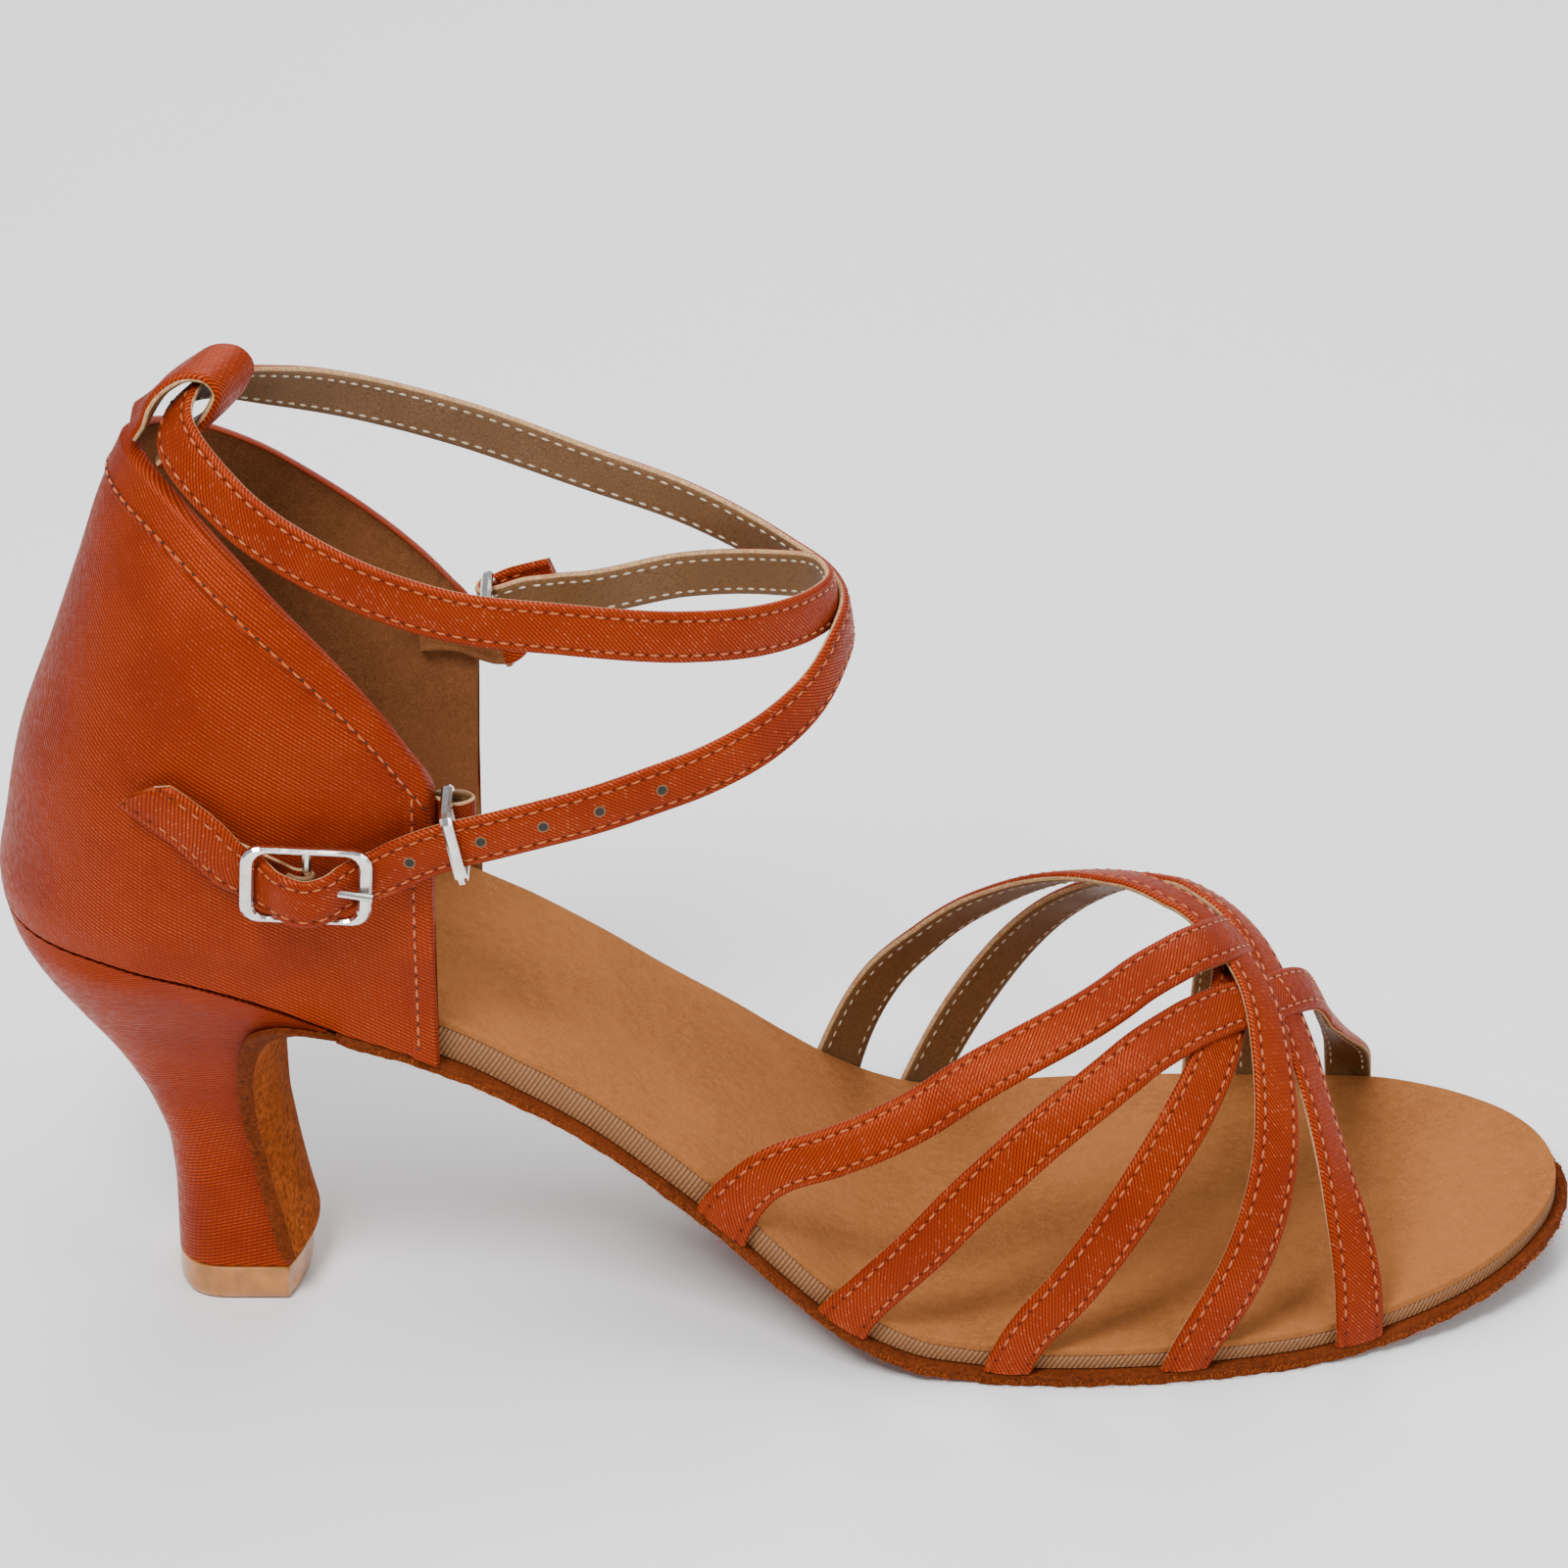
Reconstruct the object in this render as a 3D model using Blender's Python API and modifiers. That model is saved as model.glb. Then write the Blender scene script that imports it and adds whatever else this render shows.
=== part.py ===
"""A ballroom dance sandal for the right foot, standing empty on its heel tip and the ball of its sole.

Metres. The origin lies on the floor under the ball of the foot, +X points to the toe, -Y to the outer
side and +Z up. Tables give places as shares of the named sizes above them.
"""

import math

import bmesh
import bpy
import numpy as np

# Driving dimensions
SHOE_LENGTH = 0.240
BALL_STATION = 0.679
BALL_WIDTH = 0.0815
WAIST_WIDTH = 0.053
SEAT_WIDTH = 0.056
HEEL_HEIGHT = 0.0685
TOE_SPRING = 0.0075
AXIS_OFFSET = 0.001

OUTSOLE_THICKNESS = 0.0018
BOARD_WAIST_THICKNESS = 0.0050
BOARD_TOE_THICKNESS = 0.0022
SOCK_THICKNESS = 0.0010
SOLE_MARGIN = 0.0021
GAP = 0.0003

HEEL_TIP_HEIGHT = 0.0062
HEEL_TIP_LENGTH = 0.0204
HEEL_TIP_WIDTH = 0.0250
HEEL_TIP_SETBACK = 0.0244
BREAST_STATION = 0.217
FLAP_THICKNESS = 0.0014

COUNTER_HEIGHT = 0.0745
COUNTER_LEAN = 0.0218
COUNTER_WALL = 0.0022
COUNTER_BACK_DEPTH = 0.028
BINDING_WIDTH = 0.0055
BINDING_RISE = 0.0004
FRONT_EDGE_STATION_LATERAL = 0.278
FRONT_EDGE_STATION_MEDIAL = 0.297

LOOP_WIDTH = 0.0115
LOOP_THICKNESS = 0.0018
LOOP_TWIST_DEG = 24.0

STRAP_WIDTH = 0.0078
STRAP_THICKNESS = 0.0015
CROSSING_STEP = 0.0011
INSTEP_HEIGHT = 0.056

RING_LENGTH = 0.0124
RING_DEPTH = 0.0106
RING_PLATE = 0.0017
RING_BAR = 0.0014
RING_CORNER = 0.0016
TAB_THICKNESS = 0.0007
TAB_WIDTH = 0.0074

BUCKLE_LENGTH = 0.0192
BUCKLE_WIDTH = 0.0126
BUCKLE_END = 0.0020
BUCKLE_SIDE = 0.0010
BUCKLE_PLATE = 0.0014
BUCKLE_CORNER = 0.0027
BUCKLE_TILT_DEG = 3.0
BUCKLE_TAB_WIDTH = 0.0055
CENTRE_BAR_RADIUS = 0.0007
PRONG_RADIUS = 0.0006
PRONG_DROP = 0.0005
PRONG_HOLE_RADIUS = 0.0010
BARREL_RADIUS = 0.0013
BARREL_HOLE_RADIUS = 0.00085
BARREL_LENGTH = 0.0016

# Shares of the sizes above
SEAT_HALF_SHARE = 0.488
FLAP_START = 0.975
HEEL_SHARES = np.array((0.0, 0.012, 0.05, 0.12, 0.25, 0.42, 0.62, 0.82, 1.0, 1.25, 1.6, 2.0))
FLAP_FOOT = 0.04
FLAP_HEAD = 1.0
HEEL_RISES = np.linspace(0, 1, 15)
ARCH_FULLNESS = 0.85
FOOT_SPREAD = 0.93
FOOT_BLEND = 0.010
FOOT_CLEARANCE = 0.0002
FOOT_INSET = FOOT_CLEARANCE + STRAP_THICKNESS / 2
HEEL_POWERS = (3.0, 3.0, 3.0, 3.0, 2.8, 2.5, 2.2, 2.1, 2.0)
FLAP_CORNER = 1.3
SOLE_START_TURN = 0.001
BINDING_STEP = 0.0005
STRAP_STEP = 0.0055
TAB_STEP = 0.008
PRONG_HOLE_SHARES = (0.24, 0.72)

# Sole outline: station from the back, the width it follows, and each side as a share of that width
OUTLINE = (
    # station, width, lateral, medial
    (0.000, SEAT_WIDTH, 0.000, 0.000),
    (0.020, SEAT_WIDTH, -0.262, 0.262),
    (0.055, SEAT_WIDTH, -0.411, 0.411),
    (0.100, SEAT_WIDTH, -0.485, 0.485),
    (0.150, SEAT_WIDTH, -0.492, 0.492),
    (0.210, SEAT_WIDTH, -0.491, 0.491),
    (0.267, WAIST_WIDTH, -0.500, 0.506),
    (0.321, WAIST_WIDTH, -0.484, 0.502),
    (0.371, WAIST_WIDTH, -0.487, 0.510),
    (0.421, WAIST_WIDTH, -0.515, 0.540),
    (0.463, WAIST_WIDTH, -0.560, 0.590),
    (0.504, BALL_WIDTH, -0.400, 0.425),
    (0.554, BALL_WIDTH, -0.425, 0.478),
    (0.604, BALL_WIDTH, -0.434, 0.520),
    (0.658, BALL_WIDTH, -0.445, 0.549),
    (0.721, BALL_WIDTH, -0.438, 0.563),
    (0.783, BALL_WIDTH, -0.410, 0.564),
    (0.838, BALL_WIDTH, -0.368, 0.556),
    (0.888, BALL_WIDTH, -0.312, 0.522),
    (0.929, BALL_WIDTH, -0.246, 0.452),
    (0.963, BALL_WIDTH, -0.165, 0.355),
    (0.985, BALL_WIDTH, -0.080, 0.255),
    (1.000, BALL_WIDTH, 0.075, 0.075),
)

# Underside of the sole along the foot
TREAD = (
    # station, size, share
    (0.000, HEEL_HEIGHT, 0.974),
    (0.055, HEEL_HEIGHT, 0.976),
    (0.105, HEEL_HEIGHT, 0.950),
    (0.150, HEEL_HEIGHT, 0.905),
    (0.188, HEEL_HEIGHT, 0.853),
    (0.217, HEEL_HEIGHT, 0.806),
    (0.267, HEEL_HEIGHT, 0.738),
    (0.321, HEEL_HEIGHT, 0.640),
    (0.371, HEEL_HEIGHT, 0.532),
    (0.418, HEEL_HEIGHT, 0.408),
    (0.458, HEEL_HEIGHT, 0.300),
    (0.492, HEEL_HEIGHT, 0.200),
    (0.525, HEEL_HEIGHT, 0.110),
    (0.554, HEEL_HEIGHT, 0.052),
    (0.587, HEEL_HEIGHT, 0.014),
    (0.635, HEEL_HEIGHT, 0.000),
    (0.810, TOE_SPRING, 0.000),
    (0.850, TOE_SPRING, 0.070),
    (0.895, TOE_SPRING, 0.260),
    (0.940, TOE_SPRING, 0.520),
    (0.972, TOE_SPRING, 0.780),
    (1.000, TOE_SPRING, 1.000),
)

# Thickness of the insole board along the foot
BOARD = (
    # station, size, share
    (0.000, BOARD_WAIST_THICKNESS, 0.60),
    (0.150, BOARD_WAIST_THICKNESS, 0.66),
    (0.250, BOARD_WAIST_THICKNESS, 1.00),
    (0.430, BOARD_WAIST_THICKNESS, 1.00),
    (0.520, BOARD_WAIST_THICKNESS, 0.80),
    (0.590, BOARD_TOE_THICKNESS, 1.15),
    (0.680, BOARD_TOE_THICKNESS, 1.00),
    (1.000, BOARD_TOE_THICKNESS, 1.00),
)

# Heel levels from the tip up to the seat
HEEL_LEVELS = (
    # rise, back and front as shares of the tip length, half width as a share of the tip width, front bulge
    (0.00, 0.000, 1.000, 0.500, 0.15),
    (0.16, 0.000, 0.910, 0.480, 0.17),
    (0.31, -0.030, 0.840, 0.480, 0.20),
    (0.46, -0.160, 0.785, 0.520, 0.20),
    (0.61, -0.400, 0.775, 0.630, 0.17),
    (0.75, -0.720, 0.795, 0.790, 0.12),
    (0.87, -0.990, 0.865, 0.960, 0.08),
    (0.95, -1.120, 1.030, 1.060, 0.05),
)

# Back of the counter: height above the seat, forward lean, half width
COUNTER_BACK = (
    # height share, lean share, half width share of the seat width
    (-0.300, 0.020, 0.480),
    (-0.020, 0.023, 0.491),
    (0.060, 0.000, 0.502),
    (0.154, 0.055, 0.507),
    (0.356, 0.190, 0.505),
    (0.557, 0.435, 0.480),
    (0.745, 0.655, 0.415),
    (0.906, 0.840, 0.325),
    (1.000, 0.990, 0.280),
    (1.100, 1.120, 0.240),
)

# Topline of the counter from the back to its front edge
TOPLINE = (
    # share of the way forward, height share
    (0.000, 1.000),
    (0.130, 0.955),
    (0.330, 0.862),
    (0.510, 0.762),
    (0.665, 0.670),
    (0.820, 0.565),
    (0.930, 0.476),
    (0.985, 0.425),
    (1.000, 0.370),
)

# Back loop: path of the band from the topline, over, and down inside, about the top of the counter
LOOP_PATH = (
    # forward of the counter's top and above it, both in shares of the loop width, twist share
    (0.175, 0.200, 0.0),
    (0.350, 0.380, 0.3),
    (0.520, 0.630, 0.7),
    (0.770, 0.870, 1.0),
    (1.060, 1.030, 1.0),
    (1.310, 0.990, 1.0),
    (1.430, 0.820, 1.0),
    (1.360, 0.590, 1.0),
    (1.180, 0.340, 1.0),
    (0.900, 0.070, 0.8),
    (0.560, -0.180, 0.4),
)

# Instep crest height above the sole along the foot
INSTEP = (
    # station, size, share
    (0.350, INSTEP_HEIGHT, 0.76),
    (0.450, INSTEP_HEIGHT, 0.81),
    (0.520, INSTEP_HEIGHT, 0.87),
    (0.617, INSTEP_HEIGHT, 1.01),
    (0.708, INSTEP_HEIGHT, 1.03),
    (0.742, INSTEP_HEIGHT, 1.00),
    (0.763, INSTEP_HEIGHT, 0.95),
    (0.796, INSTEP_HEIGHT, 0.83),
    (0.821, INSTEP_HEIGHT, 0.73),
    (0.846, INSTEP_HEIGHT, 0.56),
    (0.888, INSTEP_HEIGHT, 0.34),
)

# Vamp straps: each row is a station along the foot, a share across it from lateral -1 to medial 1,
# and the layer it runs in at that row
VAMP_STRAPS = {
    "rear_outer": (
        (0.452, -1.00, 0.0),
        (0.486, -0.80, 0.0),
        (0.522, -0.67, 0.0),
        (0.614, -0.46, 0.0),
        (0.707, -0.27, 0.5),
        (0.765, -0.06, 1.5),
        (0.790, 0.16, -0.6),
        (0.800, 0.44, -2.4),
        (0.806, 0.74, -1.4),
        (0.807, 0.92, -0.1),
        (0.808, 1.00, 0.0),
    ),
    "second_outer": (
        (0.528, -1.00, 0.0),
        (0.552, -0.90, 0.0),
        (0.584, -0.79, 0.0),
        (0.644, -0.61, 0.0),
        (0.706, -0.45, 0.0),
        (0.766, -0.27, 0.0),
        (0.800, -0.12, 0.3),
        (0.824, 0.03, 1.0),
        (0.845, 0.22, -0.8),
        (0.859, 0.46, -2.0),
        (0.867, 0.74, -1.2),
        (0.868, 0.92, -0.1),
        (0.869, 1.00, 0.0),
    ),
    "middle": (
        (0.632, -1.00, 0.0),
        (0.642, -0.96, 0.0),
        (0.676, -0.86, -0.7),
        (0.724, -0.66, -1.0),
        (0.755, -0.47, -1.0),
        (0.772, -0.28, -1.2),
        (0.782, 0.00, -1.3),
        (0.784, 0.30, -1.2),
        (0.780, 0.62, -1.0),
        (0.775, 0.92, -0.1),
        (0.772, 1.00, 0.0),
    ),
    "fourth_outer": (
        (0.744, -1.00, 0.0),
        (0.781, -0.82, 0.0),
        (0.799, -0.57, 0.2),
        (0.797, -0.36, 0.8),
        (0.785, -0.15, 1.3),
        (0.764, -0.01, 0.5),
        (0.729, 0.12, 0.2),
        (0.681, 0.28, 0.6),
        (0.619, 0.49, 0.4),
        (0.556, 0.74, 0.0),
        (0.524, 1.00, 0.0),
    ),
    "front_outer": (
        (0.856, -1.00, 0.0),
        (0.853, -0.79, 0.0),
        (0.841, -0.53, 0.0),
        (0.824, -0.29, -0.1),
        (0.808, -0.10, -0.1),
        (0.788, 0.06, 1.0),
        (0.756, 0.21, 0.7),
        (0.712, 0.36, 0.0),
        (0.668, 0.55, 0.0),
        (0.618, 0.80, 0.0),
        (0.580, 1.00, 0.0),
    ),
}

# Ankle strap: station, share of the seat width across, share of the counter height up, outward lean in degrees.
# It starts with its short end folded round the medial ring and ends with its tip past the buckle.
ANKLE_STRAP = (
    (0.3478, 0.557, 0.457, -8.0),
    (0.3290, 0.574, 0.434, -8.0),
    (0.3107, 0.589, 0.408, -8.0),
    (0.3045, 0.581, 0.401, 8.0),
    (0.3023, 0.557, 0.397, 18.0),
    (0.3045, 0.534, 0.397, 18.0),
    (0.3107, 0.525, 0.403, 8.0),
    (0.3290, 0.520, 0.426, 8.0),
    (0.3498, 0.500, 0.442, 8.0),
    (0.3650, 0.470, 0.458, 8.0),
    (0.4290, 0.405, 0.528, 8.0),
    (0.4830, 0.270, 0.588, 8.0),
    (0.5160, 0.110, 0.634, 8.0),
    (0.5210, 0.000, 0.645, 8.0),
    (0.5080, -0.150, 0.664, 8.0),
    (0.4790, -0.295, 0.689, 8.0),
    (0.4330, -0.420, 0.725, 8.0),
    (0.3570, -0.500, 0.775, 8.0),
    (0.2890, -0.496, 0.804, 8.0),
    (0.2160, -0.420, 0.871, 12.0),
    (0.1580, -0.296, 0.965, 26.0),
    (0.1250, -0.130, 1.070, 42.0),
    (0.1305, -0.020, 1.096, 44.0),
    (0.1435, 0.090, 1.079, 43.0),
    (0.1830, 0.243, 1.018, 26.0),
    (0.2180, 0.357, 0.956, 18.0),
    (0.2930, 0.490, 0.835, 10.0),
    (0.3680, 0.525, 0.725, 8.0),
    (0.4310, 0.478, 0.662, 8.0),
    (0.4940, 0.325, 0.602, 8.0),
    (0.5240, 0.140, 0.595, 8.0),
    (0.5300, -0.020, 0.594, 8.0),
    (0.5240, -0.130, 0.574, 8.0),
    (0.5110, -0.235, 0.531, 8.0),
    (0.4830, -0.357, 0.482, 8.0),
    (0.4480, -0.446, 0.445, 6.0),
    (0.4100, -0.509, 0.418, 4.0),
    (0.3760, -0.545, 0.391, 2.0),
    (0.3420, -0.566, 0.367, 0.0),
    (0.3080, -0.575, 0.340, 0.0),
    (0.2890, -0.575, 0.324, 0.0),
    (0.2650, -0.570, 0.291, 0.0),
    (0.2455, -0.561, 0.254, 0.0),
    (0.2330, -0.564, 0.240, 0.0),
    (0.2230, -0.587, 0.231, 0.0),
    (0.2140, -0.624, 0.224, 0.0),
    (0.2010, -0.640, 0.219, 0.0),
    (0.1880, -0.624, 0.227, 0.0),
    (0.1790, -0.587, 0.231, 0.0),
    (0.1690, -0.564, 0.246, 0.0),
    (0.1565, -0.561, 0.272, 0.0),
    (0.1350, -0.546, 0.341, 0.0),
    (0.1020, -0.525, 0.422, 0.0),
)


# Metal rings: place as in the strap's table, lean of the long axis and tilt of the depth in degrees
RINGS = {
    "lateral_ring": (0.2920, -0.534, 0.3315, 12.0, 0.0),
    "medial_ring": (0.3107, 0.475, 0.397, 18.0, 8.0),
}
BUCKLE_PLACE = (0.2015, -0.593, 0.2416)

# Folded tabs, in the strap table's units: out through a ring or round the centre bar, and back
LATERAL_TAB = (
    (0.2415, -0.451, 0.336, 0.0),
    (0.2665, -0.451, 0.336, 0.0),
    (0.2773, -0.450, 0.336, 0.0),
    (0.2830, -0.466, 0.336, 0.0),
    (0.2890, -0.491, 0.336, 0.0),
    (0.2969, -0.487, 0.336, 0.0),
    (0.3028, -0.457, 0.336, 0.0),
    (0.2978, -0.429, 0.336, 0.0),
    (0.2890, -0.425, 0.336, 0.0),
    (0.2773, -0.431, 0.336, 0.0),
    (0.2665, -0.432, 0.336, 0.0),
    (0.2415, -0.431, 0.336, 0.0),
)
MEDIAL_TAB = (
    (0.2603, 0.446, 0.387, 0.0),
    (0.2853, 0.449, 0.387, 2.0),
    (0.2965, 0.452, 0.389, 5.0),
    (0.3028, 0.445, 0.391, 8.0),
    (0.3107, 0.436, 0.393, 8.0),
    (0.3186, 0.429, 0.399, 18.0),
    (0.3240, 0.393, 0.401, 18.0),
    (0.3186, 0.362, 0.393, 8.0),
    (0.3107, 0.357, 0.386, -8.0),
    (0.2965, 0.396, 0.385, -4.0),
    (0.2853, 0.430, 0.387, -1.0),
    (0.2603, 0.433, 0.387, 0.0),
)
BUCKLE_TAB = (
    (0.1290, -0.514, 0.333, 0.0),
    (0.1540, -0.518, 0.279, 0.0),
    (0.1769, -0.529, 0.246, 0.0),
    (0.1898, -0.552, 0.236, 0.0),
    (0.1961, -0.568, 0.234, 0.0),
    (0.2015, -0.571, 0.234, 0.0),
    (0.2050, -0.578, 0.234, 0.0),
    (0.2065, -0.593, 0.234, 0.0),
    (0.2050, -0.608, 0.234, 0.0),
    (0.2015, -0.614, 0.234, 0.0),
    (0.1961, -0.610, 0.234, 0.0),
    (0.1907, -0.593, 0.234, 0.0),
)


def hermite(knots, values, slopes, at):
    """Cubic Hermite curve through values at knots with the slopes given."""
    at = np.clip(at, knots[0], knots[-1])
    span = np.clip(np.searchsorted(knots, at, side="right") - 1, 0, len(knots) - 2)
    step = knots[span + 1] - knots[span]
    t = (at - knots[span]) / step
    if values.ndim > 1:
        t, step = t[..., None], step[..., None]
    rise = t * t * (3 - 2 * t)
    lead = t * (1 - t) ** 2 * step
    trail = t * t * (t - 1) * step
    return values[span] * (1 - rise) + values[span + 1] * rise + slopes[span] * lead + slopes[span + 1] * trail


def monotone(knots, values, at):
    """A curve that never overshoots its table: harmonic mean slopes, level where the table turns."""
    knots, values = np.asarray(knots, float), np.asarray(values, float)
    chord = np.diff(values) / np.diff(knots)
    turning = chord[:-1] * chord[1:] <= 0
    total = np.where(turning, 1.0, chord[:-1] + chord[1:])
    inner = np.where(turning, 0.0, 2 * chord[:-1] * chord[1:] / total)
    slopes = np.concatenate((chord[:1], inner, chord[-1:]))
    return hermite(knots, values, slopes, np.asarray(at, float))


def flowing(knots, values, at):
    """A soft curve through the table: each slope is that of the parabola through three rows."""
    knots, values = np.asarray(knots, float), np.asarray(values, float)
    step = np.diff(knots)
    if values.ndim > 1:
        step = step[:, None]
    chord = np.diff(values, axis=0) / step
    inner = (chord[:-1] * step[1:] + chord[1:] * step[:-1]) / (step[:-1] + step[1:])
    first = 1.5 * chord[:1] - 0.5 * inner[:1]
    last = 1.5 * chord[-1:] - 0.5 * inner[-1:]
    return hermite(knots, values, np.concatenate((first, inner, last)), np.asarray(at, float))


def along_chords(points, count):
    """Evenly spread parameters along points, and the knots of the points themselves."""
    lengths = np.linalg.norm(np.diff(points, axis=0), axis=1)
    knots = np.concatenate(((0.0,), np.cumsum(lengths)))
    return knots, np.linspace(0.0, knots[-1], count)


def unit(vectors):
    return vectors / np.linalg.norm(vectors, axis=-1, keepdims=True)


def x_at(station):
    return (np.asarray(station, float) - BALL_STATION) * SHOE_LENGTH


def station_at(x):
    return np.asarray(x, float) / SHOE_LENGTH + BALL_STATION


def table_value(table, x):
    """Value of a station, size, share table at x."""
    rows = [(station, size * share) for station, size, share in table]
    return monotone([row[0] for row in rows], [row[1] for row in rows], station_at(x))


def tread_z(x):
    return table_value(TREAD, x)


def sole_top_z(x):
    return tread_z(x) + OUTSOLE_THICKNESS


def board_top_z(x):
    return sole_top_z(x) + GAP + table_value(BOARD, x)


def sock_top_z(x):
    return board_top_z(x) + GAP + SOCK_THICKNESS


def rim(side, turn, inset):
    """Point of the sole outline at an angle turn from heel (0) to toe (pi), moved in by inset."""
    stations = np.array([row[0] for row in OUTLINE])
    column = 2 if side < 0 else 3
    across = np.array([row[1] * row[column] for row in OUTLINE])
    knots = np.arccos(1 - 2 * stations)

    def point(at):
        return np.stack((x_at((1 - np.cos(at)) / 2), flowing(knots, across, at) - AXIS_OFFSET), -1)

    nudge = 1e-4
    here = point(turn)
    ahead = unit(point(np.clip(turn + nudge, 0, math.pi)) - point(np.clip(turn - nudge, 0, math.pi)))
    outward = np.stack((-ahead[..., 1], ahead[..., 0]), -1) * side
    return here - outward * np.asarray(inset)[..., None]


def insole_inset(turns):
    """Margin of the insole: inside the counter wall at the heel, close to the sole edge in front."""
    x = x_at((1 - np.cos(turns)) / 2)
    ahead = np.clip((x - x_at(FRONT_EDGE_STATION_MEDIAL)) / (SHOE_LENGTH * 0.03), 0, 1)
    seat = COUNTER_WALL + 2 * GAP
    return seat + (SOLE_MARGIN - seat) * ahead


def turn_at(x):
    return np.arccos(np.clip(1 - 2 * station_at(x), -1, 1))


def half_span(x, inset):
    """Lateral and medial edge of the sole outline at x."""
    turn = turn_at(x)
    return rim(-1, turn, inset)[..., 1], rim(1, turn, inset)[..., 1]


def mesh_object(name, vertices, faces, material, merge=1e-7):
    """An object from points and faces, with doubled points at poles merged."""
    mesh = bpy.data.meshes.new(name)
    mesh.from_pydata([tuple(v) for v in vertices], [], faces)
    body = bmesh.new()
    body.from_mesh(mesh)
    bmesh.ops.remove_doubles(body, verts=body.verts, dist=merge)
    bmesh.ops.dissolve_degenerate(body, edges=body.edges, dist=merge)
    body.to_mesh(mesh)
    body.free()
    mesh.shade_smooth()
    mesh.set_sharp_from_angle(angle=math.radians(35))
    thing = bpy.data.objects.new(name, mesh)
    if material is not None:
        mesh.materials.append(material)
    return thing


def grid_faces(rows, columns, start=0):
    faces = []
    for i in range(rows - 1):
        for j in range(columns - 1):
            a = start + i * columns + j
            faces.append((a, a + 1, a + columns + 1, a + columns))
    return faces


def plate(name, upper, lower, material):
    """A closed solid between two grids of the same size, the upper one seen from its outside."""
    rows, columns = upper.shape[:2]
    offset = rows * columns
    faces = grid_faces(rows, columns)
    faces += [tuple(reversed(face)) for face in grid_faces(rows, columns, offset)]
    border = [(i, 0) for i in range(rows)]
    border += [(rows - 1, j) for j in range(1, columns)]
    border += [(i, columns - 1) for i in range(rows - 2, -1, -1)]
    border += [(0, j) for j in range(columns - 2, 0, -1)]
    ring = [i * columns + j for i, j in border]
    for a, b in zip(ring, ring[1:] + ring[:1]):
        faces.append((a, b, b + offset, a + offset))
    points = np.concatenate((upper.reshape(-1, 3), lower.reshape(-1, 3)))
    return mesh_object(name, points, faces, material)


def slab(name, turns, inset, top, bottom, columns, material):
    """A layer of the sole: rows across the outline at the angles given, between two height functions."""
    lateral, medial = rim(-1, turns, inset), rim(1, turns, inset)
    share = np.linspace(0, 1, columns)[None, :, None]
    plan = lateral[:, None, :] * (1 - share) + medial[:, None, :] * share
    upper = np.concatenate((plan, top(plan[..., :1])), -1)
    lower = np.concatenate((plan, bottom(plan[..., :1])), -1)
    return plate(name, upper[:, ::-1], lower[:, ::-1], material)


def stack(name, levels, material):
    """A closed solid of level rings. Each ring runs down one side and back up the other, so that
    both end caps are strips across it."""
    count, around = levels.shape[:2]
    half = around // 2
    faces = []
    for k in range(count - 1):
        for i in range(around):
            j = (i + 1) % around
            faces.append((k * around + i, k * around + j, (k + 1) * around + j, (k + 1) * around + i))
    for base, flip in ((0, True), ((count - 1) * around, False)):
        for i in range(half - 1):
            cap = (base + i, base + i + 1, base + around - 2 - i, base + around - 1 - i)
            faces.append(tuple(reversed(cap)) if flip else cap)
    return mesh_object(name, levels.reshape(-1, 3), faces, material)


def counter_back(height):
    """X of the back, half width there, for a height above the floor."""
    share = (np.asarray(height, float) - HEEL_HEIGHT) / COUNTER_HEIGHT
    rows = [row[0] for row in COUNTER_BACK]
    lean = flowing(rows, [row[1] * COUNTER_LEAN for row in COUNTER_BACK], share)
    half = flowing(rows, [row[2] * SEAT_WIDTH for row in COUNTER_BACK], share)
    return x_at(0.0) + lean, half


def counter_point(around, height):
    """Outer face of the counter. around runs from the lateral front edge (-1) over the back (0)
    to the medial front edge (1): a quarter ellipse each side, then straight on."""
    around, height = np.broadcast_arrays(np.asarray(around, float), np.asarray(height, float))
    back, half = counter_back(height)
    front = x_at(np.where(around < 0, FRONT_EDGE_STATION_LATERAL, FRONT_EDGE_STATION_MEDIAL))
    depth = COUNTER_BACK_DEPTH
    quarter = math.pi / 2 * np.sqrt((depth ** 2 + half ** 2) / 2)
    reach = np.abs(around) * (quarter + front - back - depth)
    turn = np.clip(reach / quarter, 0, 1) * math.pi / 2
    x = back + depth * (1 - np.cos(turn)) + np.maximum(reach - quarter, 0)
    y = half * np.sin(turn) * np.sign(around) - AXIS_OFFSET
    return np.stack((x, y, height), -1)


def counter_edges(around):
    """Heights of the counter's lower edge and topline."""
    low = np.full(around.shape, HEEL_HEIGHT)
    for _ in range(8):
        low = sole_top_z(counter_point(around, low)[..., 0]) + GAP
    high = np.full(around.shape, HEEL_HEIGHT + COUNTER_HEIGHT)
    top_back = counter_back(HEEL_HEIGHT + COUNTER_HEIGHT)[0]
    front = x_at(np.where(around < 0, FRONT_EDGE_STATION_LATERAL, FRONT_EDGE_STATION_MEDIAL))
    shares = [row[0] for row in TOPLINE]
    rises = [row[1] for row in TOPLINE]
    for _ in range(40):
        forward = (counter_point(around, high)[..., 0] - top_back) / (front - top_back)
        high = 0.5 * high + 0.5 * (HEEL_HEIGHT + COUNTER_HEIGHT * monotone(shares, rises, np.clip(forward, 0, 1)))
    return low, high


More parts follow.
